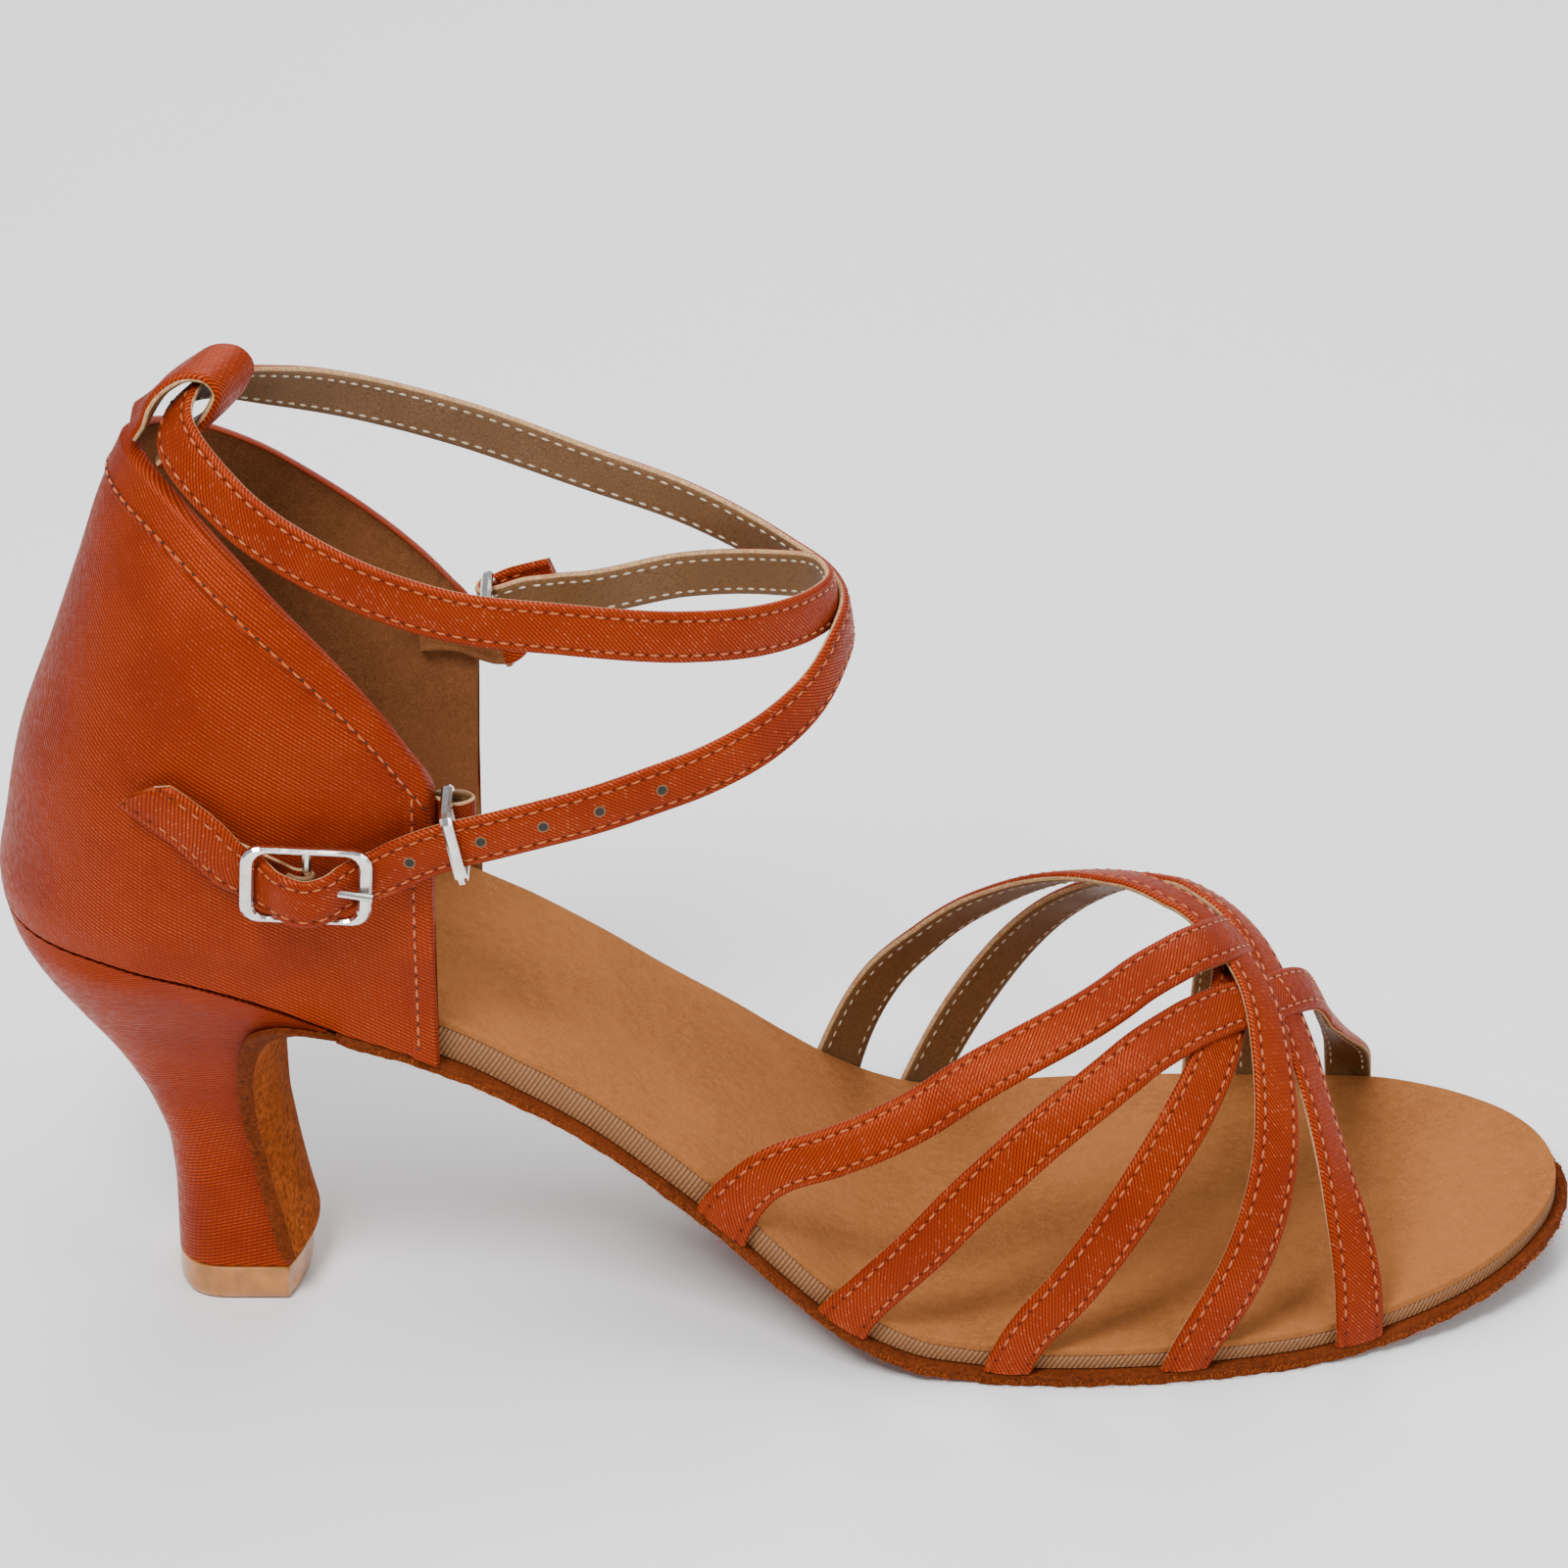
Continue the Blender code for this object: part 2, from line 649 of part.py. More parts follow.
def counter_wall(material):
    """The closed back: a wall whose bound edge stands a little proud along the topline."""
    around = np.linspace(-1, 1, 49)
    low, high = counter_edges(around)
    rise_rows = np.array((0.0, 0.14, 0.34, 0.56, 0.78, 1.0))
    below = high[:, None] - BINDING_WIDTH
    heights = low[:, None] + (below - low[:, None]) * rise_rows[None, :]
    step = np.stack((below[:, 0] + BINDING_STEP, high), -1)
    heights = np.concatenate((heights, step), 1)
    grid = counter_point(around[:, None], heights)
    outward = outward_of(grid)
    proud = np.concatenate((np.zeros(len(rise_rows)), (BINDING_RISE, BINDING_RISE)))
    outer = grid + outward * proud[None, :, None]
    inner = grid - outward * COUNTER_WALL
    inner[:, 0, 2] = low
    return plate("counter", outer, inner, material)


def outward_of(grid):
    """Unit normals of a counter grid, kept level so that edges stay at their heights."""
    along = np.gradient(grid, axis=0)
    normal = np.stack((along[..., 1], -along[..., 0], np.zeros(along.shape[:2])), -1)
    return unit(normal) * np.sign(np.sum(normal * (grid - grid.mean(axis=(0, 1))), -1, keepdims=True))


def heel_rings(rises, shares, swell):
    """Half sections of the heel from the back to the front centre, one a rise, swollen by swell.

    Shares from 0 to 1 run along the side, a rounded square corner behind and straight to the front;
    shares from 1 to 2 cross the front face, a shallow arc that stands forward by the bulge.
    """
    rows = [row[0] for row in HEEL_LEVELS] + [1.0]
    tip_back = x_at(0.0) + HEEL_TIP_SETBACK
    backs = [tip_back + row[1] * HEEL_TIP_LENGTH for row in HEEL_LEVELS] + [x_at(0.002)]
    fronts = [tip_back + row[2] * HEEL_TIP_LENGTH for row in HEEL_LEVELS] + [x_at(BREAST_STATION)]
    halves = [row[3] * HEEL_TIP_WIDTH for row in HEEL_LEVELS] + [SEAT_HALF_SHARE * SEAT_WIDTH]
    bulges = [row[4] for row in HEEL_LEVELS] + [0.04]
    columns = (backs, fronts, halves, bulges, HEEL_POWERS)
    back, front, half, bulge, power = (monotone(rows, column, rises)[:, None] for column in columns)
    behind = np.clip(1 - shares / 0.55, 0, 1)
    across = np.clip(2 - shares, 0, 1)
    width = np.where(shares < 1, (1 - behind ** power) ** (1 / power), across)
    length = np.where(shares < 1, shares * (1 - bulge), 1 - bulge * across ** 2)
    side = np.stack((back + (front - back) * length, half * width), -1)
    along = unit(np.gradient(side, axis=1))
    if shares[0] == 0:
        along[:, 0] = (0, 1)
    along[:, -1] = (0, -1)
    corner = np.where(shares == 1, FLAP_CORNER, 1.0)[None, :, None]
    side = side + corner * np.stack((-along[..., 1], along[..., 0]), -1) * swell
    z = HEEL_TIP_HEIGHT + (sole_top_z(side[..., 0]) - GAP - HEEL_TIP_HEIGHT) * rises[:, None]
    return side, z


def both_sides(side, z):
    """Lateral and medial halves of heel sections as points."""
    lateral = np.stack((side[..., 0], -side[..., 1] - AXIS_OFFSET, z), -1)
    medial = np.stack((side[..., 0], side[..., 1] - AXIS_OFFSET, z), -1)
    return lateral, medial


def heel_block(material):
    side, z = heel_rings(HEEL_RISES, HEEL_SHARES, 0.0)
    lateral, medial = both_sides(side, z)
    return stack("heel_block", np.concatenate((lateral, medial[:, ::-1]), 1), material)


def heel_tip(material):
    side, _ = heel_rings(np.zeros(2), HEEL_SHARES, 0.0)
    z = np.array((0.0, HEEL_TIP_HEIGHT - GAP))[:, None] * np.ones(side.shape[1])
    lateral, medial = both_sides(side, z)
    return stack("heel_tip", np.concatenate((lateral, medial[:, ::-1]), 1), material)


def breast_flap():
    """The tongue of the sole that runs down the front of the heel."""
    shares = np.concatenate(((FLAP_START,), HEEL_SHARES[HEEL_SHARES >= 1]))
    rises = np.concatenate(((FLAP_FOOT,), HEEL_RISES[1:-1], (FLAP_HEAD,)))
    faces = []
    for swell in (GAP, GAP + FLAP_THICKNESS):
        side, z = heel_rings(rises, shares, swell)
        lateral, medial = both_sides(side, z - GAP)
        faces.append(np.concatenate((lateral, medial[:, ::-1][:, 1:]), 1))
    return plate("breast_flap", faces[1], faces[0], None)


def outsole(material):
    turns = np.linspace(turn_at(x_at(BREAST_STATION)) + SOLE_START_TURN, math.pi, 48)
    sole = slab("outsole", turns, 0.0, sole_top_z, tread_z, 3, material)
    join(sole, breast_flap(), "UNION")
    return sole


def join(target, other, operation):
    """Adds a Boolean modifier to target with other kept as a hidden cutter."""
    other.display_type = "WIRE"
    other.hide_render = True
    CUTTERS.objects.link(other)
    modifier = target.modifiers.new(other.name, "BOOLEAN")
    modifier.operation = operation
    modifier.solver = "EXACT"
    modifier.object = other


def instep_point(x, across):
    """Surface of the last over the forepart: half a rounded arch from edge to edge of the sole."""
    lateral, medial = half_span(x, FOOT_INSET)
    middle, half = (lateral + medial) / 2, (medial - lateral) / 2
    turn = across * math.pi / 2
    rise = table_value(INSTEP, x) * np.cos(turn) ** ARCH_FULLNESS
    return np.stack((x, middle + half * np.sin(turn), sole_top_z(x) + GAP + rise), -1)


def instep_normal(x, across):
    nudge = 1e-4
    run = instep_point(x + nudge, across) - instep_point(x - nudge, across)
    side = instep_point(x, np.clip(across + nudge, -1, 1)) - instep_point(x, np.clip(across - nudge, -1, 1))
    return unit(np.cross(run, side))


def vamp_strap(rows, count=33):
    """Centre line, side direction and normal of a strap that hugs the instep."""
    table = np.array(rows)
    plan = np.stack((x_at(table[:, 0]), table[:, 1] * BALL_WIDTH / 2), -1)
    knots, at = along_chords(plan, count)
    station, across, layer = flowing(knots, table, at).T
    across = np.clip(across, -1, 1)
    x = x_at(station)
    normal = instep_normal(x, across)
    centre = instep_point(x, across) + normal * (layer * CROSSING_STEP)[:, None]
    ahead = unit(np.gradient(centre, axis=0))
    side = unit(np.cross(normal, ahead))
    half = STRAP_WIDTH / 2
    square = np.stack((centre - side * half, centre, centre + side * half), 1)
    spread = np.sign(side[:, 0])[:, None] * np.array((-half, 0.0, half))[None, :] * FOOT_SPREAD
    level = instep_point(x[:, None] + spread, across[:, None] + 0 * spread)
    level = level + normal[:, None, :] * (layer * CROSSING_STEP)[:, None, None]
    ends = np.minimum(at, at[-1] - at) / FOOT_BLEND
    blend = np.clip(1 - ends, 0, 1)[:, None, None] ** 2
    return square * (1 - blend) + level * blend


def sheet(name, grid, thickness, offset, material):
    """An open surface given its thickness by Solidify."""
    thing = mesh_object(name, grid.reshape(-1, 3), grid_faces(*grid.shape[:2]), material)
    solid = thing.modifiers.new("thickness", "SOLIDIFY")
    solid.thickness = thickness
    solid.offset = offset
    solid.use_even_offset = True
    return thing


def vamp(material):
    grids = {name: vamp_strap(rows) for name, rows in VAMP_STRAPS.items()}
    names = list(grids)
    first = sheet("vamp_straps", grids[names[0]], STRAP_THICKNESS, 0, material)
    for name in names[1:]:
        join(first, sheet(name, grids[name], STRAP_THICKNESS, 0, None), "UNION")
    return first


def ribbon(centre, lean, width):
    """Grid of a ribbon on edge: it faces away from the ankle, tipped back by lean."""
    ahead = unit(np.gradient(centre, axis=0))
    level = unit(np.stack((-ahead[:, 1], ahead[:, 0], 0 * ahead[:, 0]), -1))
    outward = level * np.cos(lean)[:, None] + np.array((0, 0, 1)) * np.sin(lean)[:, None]
    across = unit(np.cross(ahead, outward))
    shares = np.array((-0.5, 0.5))[None, :, None]
    return centre[:, None, :] + across[:, None, :] * shares * width


def place(station, across, height):
    """Point of a strap table row."""
    return np.stack((x_at(station), across * SEAT_WIDTH - AXIS_OFFSET, HEEL_HEIGHT + height * COUNTER_HEIGHT), -1)


def strap_route(rows, step):
    """Centre line and lean along a strap table, in steps no longer than step and two or more a row."""
    table = np.array(rows)
    points = place(table[:, 0], table[:, 1], table[:, 2])
    knots, _ = along_chords(points, 2)
    parts = [
        np.linspace(low, high, max(2, math.ceil((high - low) / step)), endpoint=False)
        for low, high in zip(knots, knots[1:])
    ]
    at = np.concatenate(parts + [knots[-1:]])
    route = flowing(knots, np.concatenate((points, table[:, 3:]), 1), at)
    return route[:, :3], np.radians(route[:, 3])


def band(name, rows, width, thickness, step, material):
    """A ribbon of even thickness along a strap table."""
    centre, lean = strap_route(rows, step)
    return sheet(name, ribbon(centre, lean, width), thickness, 0, material)


def rod(name, start, end, radius, sides, material):
    """A round bar between two points."""
    axis = unit(end - start)
    first = unit(np.cross(axis, np.array((0.3, 0.9, 0.1))))
    second = np.cross(axis, first)
    turn = np.linspace(0, 2 * math.pi, sides, endpoint=False)[:, None]
    ring = (first * np.cos(turn) + second * np.sin(turn)) * radius
    return stack(name, np.stack((start + ring, end + ring)), material)


def rounded_loop(length, height, corner, steps):
    """Corner points of a rounded rectangle, anticlockwise."""
    arc = np.linspace(0, math.pi / 2, steps)
    loop = []
    for quarter, (side, rise) in enumerate(((1, 1), (-1, 1), (-1, -1), (1, -1))):
        turn = arc + quarter * math.pi / 2
        centre = np.array((side * (length / 2 - corner), rise * (height / 2 - corner)))
        loop.append(centre + corner * np.stack((np.cos(turn), np.sin(turn)), -1))
    return np.concatenate(loop)


def metal_frame(name, centre, axes, size, ends, sides, corner, plate_depth, steps, material):
    """A rounded plate with one window and chamfered edges, and a round bar across its middle."""
    length, height = size
    cut = plate_depth / 4
    hole = (length - 2 * ends, height - 2 * sides, corner - sides * 0.7)
    half = plate_depth / 2
    loops = (
        (rounded_loop(length, height, corner, steps), half - cut),
        (rounded_loop(length - 2 * cut, height - 2 * cut, corner - cut, steps), half),
        (rounded_loop(hole[0] + 2 * cut, hole[1] + 2 * cut, hole[2] + cut, steps), half),
        (rounded_loop(*hole, steps), half - cut),
    )
    order = [(loop, -depth) for loop, depth in loops[::-1]] + list(loops)
    rings = []
    for loop, depth in order:
        rings.append(centre + loop[:, :1] * axes[0] + loop[:, 1:] * axes[1] + depth * axes[2])
    count, around = len(rings), len(rings[0])
    faces = []
    for k in range(count):
        for i in range(around):
            j, up = (i + 1) % around, (k + 1) % count
            faces.append((k * around + i, k * around + j, up * around + j, up * around + i))
    frame = mesh_object(name, np.concatenate(rings), faces, material)
    reach = axes[1] * (height - sides) / 2
    join(frame, rod(name + "_bar", centre - reach, centre + reach, CENTRE_BAR_RADIUS, 8, None), "UNION")
    return frame


def ring(name, material):
    """Double-slot ring: the strap runs through its outer slot and the tab through its inner one."""
    station, across, height, lean, tilt = RINGS[name]
    lean, tilt = math.radians(lean), math.radians(tilt)
    outward = np.array((0, math.copysign(math.cos(tilt), across), math.sin(tilt)))
    rise = np.array((-math.sin(lean), 0, math.cos(lean)))
    rise = unit(rise - outward * (rise @ outward))
    axes = (outward, rise, np.cross(outward, rise))
    size = (RING_DEPTH, RING_LENGTH)
    middle = place(station, across, height)
    return metal_frame(name, middle, axes, size, RING_BAR, RING_BAR, RING_CORNER, RING_PLATE, 3, material)


def buckle_axes():
    """Centre of the buckle, and its length, width and outward directions."""
    tilt = math.radians(BUCKLE_TILT_DEG)
    along = np.array((math.cos(tilt), 0, -math.sin(tilt)))
    rise = np.array((math.sin(tilt), 0, math.cos(tilt)))
    return place(*BUCKLE_PLACE), (along, rise, np.array((0, -1.0, 0)))


def buckle_frame(material):
    centre, axes = buckle_axes()
    size = (BUCKLE_LENGTH, BUCKLE_WIDTH)
    bars = (BUCKLE_END, BUCKLE_SIDE)
    return metal_frame("buckle_frame", centre, axes, size, *bars, BUCKLE_CORNER, BUCKLE_PLATE, 5, material)


def prong_line():
    """Foot of the prong on the centre bar's axis and its tip over the end bar."""
    centre, (along, rise, out) = buckle_axes()
    foot = centre - rise * PRONG_DROP
    tip = foot + along * (BUCKLE_LENGTH / 2 + GAP) + out * (BUCKLE_PLATE / 2 + PRONG_RADIUS + GAP * 2)
    return foot, tip


def prong(material):
    foot, tip = prong_line()
    rise = buckle_axes()[1][1]
    ahead = unit(tip - foot)
    barrel = rise * BARREL_LENGTH / 2
    start = foot + ahead * (BARREL_HOLE_RADIUS + BARREL_RADIUS) / 2
    arm = rod("buckle_prong", start, tip, PRONG_RADIUS, 10, material)
    join(arm, rod("prong_barrel", foot - barrel, foot + barrel, BARREL_RADIUS, 14, None), "UNION")
    join(arm, rod("prong_bore", foot - 2 * barrel, foot + 2 * barrel, BARREL_HOLE_RADIUS, 14, None), "DIFFERENCE")
    return arm


def box_between(name, low, high):
    """A closed block between two corners."""
    corners = np.array([[(x, low[1], z), (x, high[1], z)] for z in (low[2], high[2]) for x in (low[0], high[0])])
    ring_low = np.concatenate((corners[0], corners[1][::-1]))
    ring_high = np.concatenate((corners[2], corners[3][::-1]))
    return stack(name, np.stack((ring_low[::-1], ring_high[::-1])), None)


def buckle_tab(material):
    """Satin tab that holds the centre bar, notched for the prong's barrel."""
    tab = band("buckle_tab", BUCKLE_TAB, BUCKLE_TAB_WIDTH, TAB_THICKNESS, TAB_STEP, material)
    foot, _ = prong_line()
    reach = np.array((BARREL_RADIUS + GAP * 2, 4 * BARREL_RADIUS, BARREL_LENGTH / 2 + GAP))
    join(tab, box_between("tab_notch", foot - reach, foot + reach * np.array((2, 1, 1))), "DIFFERENCE")
    return tab


def ankle_strap(material):
    strap = band("ankle_strap", ANKLE_STRAP, STRAP_WIDTH, STRAP_THICKNESS, STRAP_STEP, material)
    foot, tip = prong_line()
    start, end = (foot + (tip - foot) * share for share in PRONG_HOLE_SHARES)
    join(strap, rod("prong_hole", start, end, PRONG_HOLE_RADIUS, 12, None), "DIFFERENCE")
    return strap


def back_loop(material):
    """A band over the top of the counter, turned a little about its upright axis."""
    top = HEEL_HEIGHT + COUNTER_HEIGHT
    start = counter_point(0.0, top)
    table = np.array(LOOP_PATH)
    knots, at = along_chords(table[:, :2] * LOOP_WIDTH, 27)
    forward, up, twist = flowing(knots, table, at).T
    turn = np.radians(LOOP_TWIST_DEG) * twist
    axis = np.stack((np.sin(turn), np.cos(turn), 0 * turn), -1)
    middle = np.stack((start[0] + forward * LOOP_WIDTH, start[1] + 0 * forward, top + up * LOOP_WIDTH), -1)
    shares = np.array((-0.5, 0.0, 0.5))[None, :, None]
    grid = middle[:, None, :] + axis[:, None, :] * shares * LOOP_WIDTH
    return sheet("back_loop", grid, LOOP_THICKNESS, 0, material)


def principled(name, colour, roughness, metallic=0.0):
    material = bpy.data.materials.new(name)
    material.use_nodes = True
    shader = material.node_tree.nodes["Principled BSDF"]
    shader.inputs["Base Color"].default_value = (*colour, 1.0)
    shader.inputs["Roughness"].default_value = roughness
    shader.inputs["Metallic"].default_value = metallic
    return material


def collection(name):
    made = bpy.data.collections.new(name)
    bpy.context.scene.collection.children.link(made)
    return made


for old in list(bpy.data.objects):
    bpy.data.objects.remove(old)
CUTTERS = collection("cutters")
SHOE = collection("ballroom_dance_shoe")
SATIN = principled("satin", (0.52, 0.07, 0.02), 0.42)
SUEDE = principled("suede", (0.45, 0.12, 0.03), 0.95)
INSOLE = principled("insole_suede", (0.51, 0.24, 0.07), 0.9)
RUBBER = principled("heel_rubber", (0.55, 0.32, 0.1), 0.4)
NICKEL = principled("nickel", (0.75, 0.73, 0.7), 0.12, 1.0)
ALL_TURNS = np.linspace(0, math.pi, 48)
PIECES = [
    outsole(SUEDE),
    slab("insole_board", ALL_TURNS, insole_inset(ALL_TURNS), board_top_z, lambda x: sole_top_z(x) + GAP, 3, INSOLE),
    slab("insole_sock", ALL_TURNS, insole_inset(ALL_TURNS), sock_top_z, lambda x: board_top_z(x) + GAP, 3, INSOLE),
    heel_block(SATIN),
    heel_tip(RUBBER),
    counter_wall(SATIN),
    back_loop(SATIN),
    vamp(SATIN),
    ankle_strap(SATIN),
    band("lateral_tab", LATERAL_TAB, TAB_WIDTH, TAB_THICKNESS, TAB_STEP, SATIN),
    band("medial_tab", MEDIAL_TAB, TAB_WIDTH, TAB_THICKNESS, TAB_STEP, SATIN),
    ring("lateral_ring", NICKEL),
    ring("medial_ring", NICKEL),
    buckle_frame(NICKEL),
    prong(NICKEL),
    buckle_tab(SATIN),
]
for piece in PIECES:
    SHOE.objects.link(piece)
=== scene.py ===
"""Looks of the ballroom dance sandal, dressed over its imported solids.

Metres, in the solids' own frame: the origin lies under the ball of the foot, +X to the toe, -Y to the
outer side, +Z up. Tables give places as shares of the named sizes above them.
"""

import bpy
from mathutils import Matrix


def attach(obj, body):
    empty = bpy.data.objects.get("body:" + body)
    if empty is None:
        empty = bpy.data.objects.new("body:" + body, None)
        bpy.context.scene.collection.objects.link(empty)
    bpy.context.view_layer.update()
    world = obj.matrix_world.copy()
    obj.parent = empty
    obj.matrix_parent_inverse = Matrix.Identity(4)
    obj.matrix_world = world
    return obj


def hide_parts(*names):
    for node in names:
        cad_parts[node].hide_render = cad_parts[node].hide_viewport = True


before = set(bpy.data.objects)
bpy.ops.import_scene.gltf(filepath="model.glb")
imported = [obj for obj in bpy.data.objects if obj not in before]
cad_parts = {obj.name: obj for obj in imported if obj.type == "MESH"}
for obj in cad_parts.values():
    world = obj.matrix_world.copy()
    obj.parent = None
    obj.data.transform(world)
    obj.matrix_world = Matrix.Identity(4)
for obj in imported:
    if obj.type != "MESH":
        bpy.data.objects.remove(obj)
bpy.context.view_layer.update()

import math

import bpy
import numpy as np
from bpy.props import FloatProperty, FloatVectorProperty, IntProperty, PointerProperty
from mathutils import Matrix

bl_info = {
    "name": "Ballroom dance sandal",
    "version": (1, 0, 0),
    "blender": (4, 5, 0),
    "location": "View3D > Sidebar > Dance sandal",
    "description": "Satin, suede, stitching and metal of a dance sandal over its solids",
    "category": "Add Mesh",
}

# Driving dimensions
SHOE_LENGTH = 0.240
BALL_STATION = 0.679
BALL_WIDTH = 0.0815
WAIST_WIDTH = 0.053
SEAT_WIDTH = 0.056
HEEL_HEIGHT = 0.0685
TOE_SPRING = 0.0075
AXIS_OFFSET = 0.001

OUTSOLE_THICKNESS = 0.0018
BOARD_WAIST_THICKNESS = 0.0050
BOARD_TOE_THICKNESS = 0.0022
SOCK_THICKNESS = 0.0010
SOLE_MARGIN = 0.0021
GAP = 0.0003

HEEL_TIP_HEIGHT = 0.0062
HEEL_TIP_LENGTH = 0.0204
HEEL_TIP_WIDTH = 0.0250
HEEL_TIP_SETBACK = 0.0244
BREAST_STATION = 0.217
FLAP_THICKNESS = 0.0014

COUNTER_HEIGHT = 0.0745
COUNTER_LEAN = 0.0218
COUNTER_WALL = 0.0022
COUNTER_BACK_DEPTH = 0.028
BINDING_WIDTH = 0.0055
FRONT_EDGE_STATION_LATERAL = 0.278
FRONT_EDGE_STATION_MEDIAL = 0.297

LOOP_WIDTH = 0.0115
LOOP_THICKNESS = 0.0018
LOOP_TWIST_DEG = 24.0

STRAP_WIDTH = 0.0078
STRAP_THICKNESS = 0.0015
CROSSING_STEP = 0.0011
INSTEP_HEIGHT = 0.056

TAB_THICKNESS = 0.0007
TAB_WIDTH = 0.0074
BUCKLE_TAB_WIDTH = 0.0055

# Shares of the sizes above
SEAT_HALF_SHARE = 0.488
FLAP_START = 0.975
FLAP_FOOT = 0.04
ARCH_FULLNESS = 0.85
FOOT_SPREAD = 0.93
FOOT_BLEND = 0.010
FOOT_CLEARANCE = 0.0002
FOOT_INSET = FOOT_CLEARANCE + STRAP_THICKNESS / 2
HEEL_POWERS = (3.0, 3.0, 3.0, 3.0, 2.8, 2.5, 2.2, 2.1, 2.0)
FLAP_CORNER = 1.3
SOLE_START_TURN = 0.001

# Detail that only the looks have
STRAP_CROWN = 0.00018
STITCH_DENT = 0.00012
TAB_CROWN = 0.00004
LOOP_CROWN = 0.0001
STRAP_STEP = 0.0009
TAB_STEP = 0.0006
STITCH_MARGIN = 0.0013
FRONT_BINDING = 0.0042
BINDING_PROUD = 0.00045
BINDING_STEP = 0.0006
BINDING_LIFT = 0.0008
TOPLINE_STITCH = 0.0012
FRONT_STITCH = 0.0011
THREAD_SINK = 0.00005
SEAM_HALF_WIDTH = 0.0004
PIT_LENGTH = 0.0005
PIT_RADIUS = 0.00022
# Colour of the painted shade in the needle pits.
PIT_SHADE_COLOUR = (0.05, 0.006, 0.002, 1)
# Colour of the painted glints of light on the satin's floats.
PAINTED_GLINT_COLOUR = (0.95, 0.3, 0.12, 1)
WORN_COLOUR = (0.75, 0.18, 0.06, 1)
SHOULDER_SOLE = 0.0002
SHOULDER_BOARD = 0.0006
SHOULDER_SOCK = 0.0009
RAGGED_DEPTH = 0.0006
FIBRE_RADIUS = 0.00005
FIBRE_SEED = 7
HOLE_RADIUS = 0.0008
HOLE_PROFILE = (
    # share of the radius, rise
    (1.15, -0.0001), (1.12, 0.00004), (1.0, 0.00007), (0.85, 0.00005), (0.8, 0.00003), (0.5, 0.00003),
)
STRAP_TIP = 0.0012
STRAP_SLANT = -0.0045
SEWN_STRAPS = ("rear_outer", "second_outer")
SEWN_ACROSS = (0.60, 0.67)
SEWN_PITCH = 0.0016
HOLES_FROM_TIP = (0.0481, 0.0591, 0.0684, 0.0768, 0.0863)
NUDGE = 1e-4

# Stage: each light's name, place, width and power
LIGHTS = (
    ("key", (-0.35, -0.5, 0.85), 0.3, 11.0),
    ("fill", (0.75, -0.45, 0.45), 0.5, 3.0),
    ("back", (0.05, 0.75, 0.75), 0.6, 6.0),
    ("top", (0.1, 0.05, 1.1), 0.8, 6.0),
)
LIGHTS_AIM = (-0.04, 0.0, 0.06)
WORLD_COLOUR = (0.95, 0.96, 1.0, 1)
WORLD_STRENGTH = 0.5
FLOOR_REACH = 30.0
FLOOR_DROP = 0.0002
CAMERA_SPOT = (-0.045, -0.9286, 0.620)
CAMERA_TILT_DEG = 60.0
LENS_MM = 164.25
SENSOR_MM = 36.0

# Sole outline: station from the back, the width it follows, and each side as a share of that width
OUTLINE = (
    # size, then station, lateral and medial shares of it
    (SEAT_WIDTH, (
        (0.0, 0.0, 0.0), (0.02, -0.262, 0.262), (0.055, -0.411, 0.411), (0.1, -0.485, 0.485),
        (0.15, -0.492, 0.492), (0.21, -0.491, 0.491),
    )),
    (WAIST_WIDTH, (
        (0.267, -0.5, 0.506), (0.321, -0.484, 0.502), (0.371, -0.487, 0.51), (0.421, -0.515, 0.54),
        (0.463, -0.56, 0.59),
    )),
    (BALL_WIDTH, (
        (0.504, -0.4, 0.425), (0.554, -0.425, 0.478), (0.604, -0.434, 0.52), (0.658, -0.445, 0.549),
        (0.721, -0.438, 0.563), (0.783, -0.41, 0.564), (0.838, -0.368, 0.556), (0.888, -0.312, 0.522),
        (0.929, -0.246, 0.452), (0.963, -0.165, 0.355), (0.985, -0.08, 0.255), (1.0, 0.075, 0.075),
    )),
)

# Underside of the sole along the foot
TREAD = (
    # size, then station and share of it
    (HEEL_HEIGHT, (
        (0.0, 0.974), (0.055, 0.976), (0.105, 0.95), (0.15, 0.905), (0.188, 0.853), (0.217, 0.806),
        (0.267, 0.738), (0.321, 0.64), (0.371, 0.532), (0.418, 0.408), (0.458, 0.3), (0.492, 0.2),
        (0.525, 0.11), (0.554, 0.052), (0.587, 0.014), (0.635, 0.0),
    )),
    (TOE_SPRING, (
        (0.81, 0.0), (0.85, 0.07), (0.895, 0.26), (0.94, 0.52), (0.972, 0.78), (1.0, 1.0),
    )),
)

# Thickness of the insole board along the foot
BOARD = (
    # size, then station and share of it
    (BOARD_WAIST_THICKNESS, (
        (0.0, 0.6), (0.15, 0.66), (0.25, 1.0), (0.43, 1.0), (0.52, 0.8),
    )),
    (BOARD_TOE_THICKNESS, (
        (0.59, 1.15), (0.68, 1.0), (1.0, 1.0),
    )),
)

# Heel levels from the tip up to the seat
HEEL_LEVELS = (
    # rise, back and front as shares of the tip length, half width as a share of the tip width, front bulge
    (0.0, 0.0, 1.0, 0.5, 0.15), (0.16, 0.0, 0.91, 0.48, 0.17), (0.31, -0.03, 0.84, 0.48, 0.2),
    (0.46, -0.16, 0.785, 0.52, 0.2), (0.61, -0.4, 0.775, 0.63, 0.17), (0.75, -0.72, 0.795, 0.79, 0.12),
    (0.87, -0.99, 0.865, 0.96, 0.08), (0.95, -1.12, 1.03, 1.06, 0.05),
)

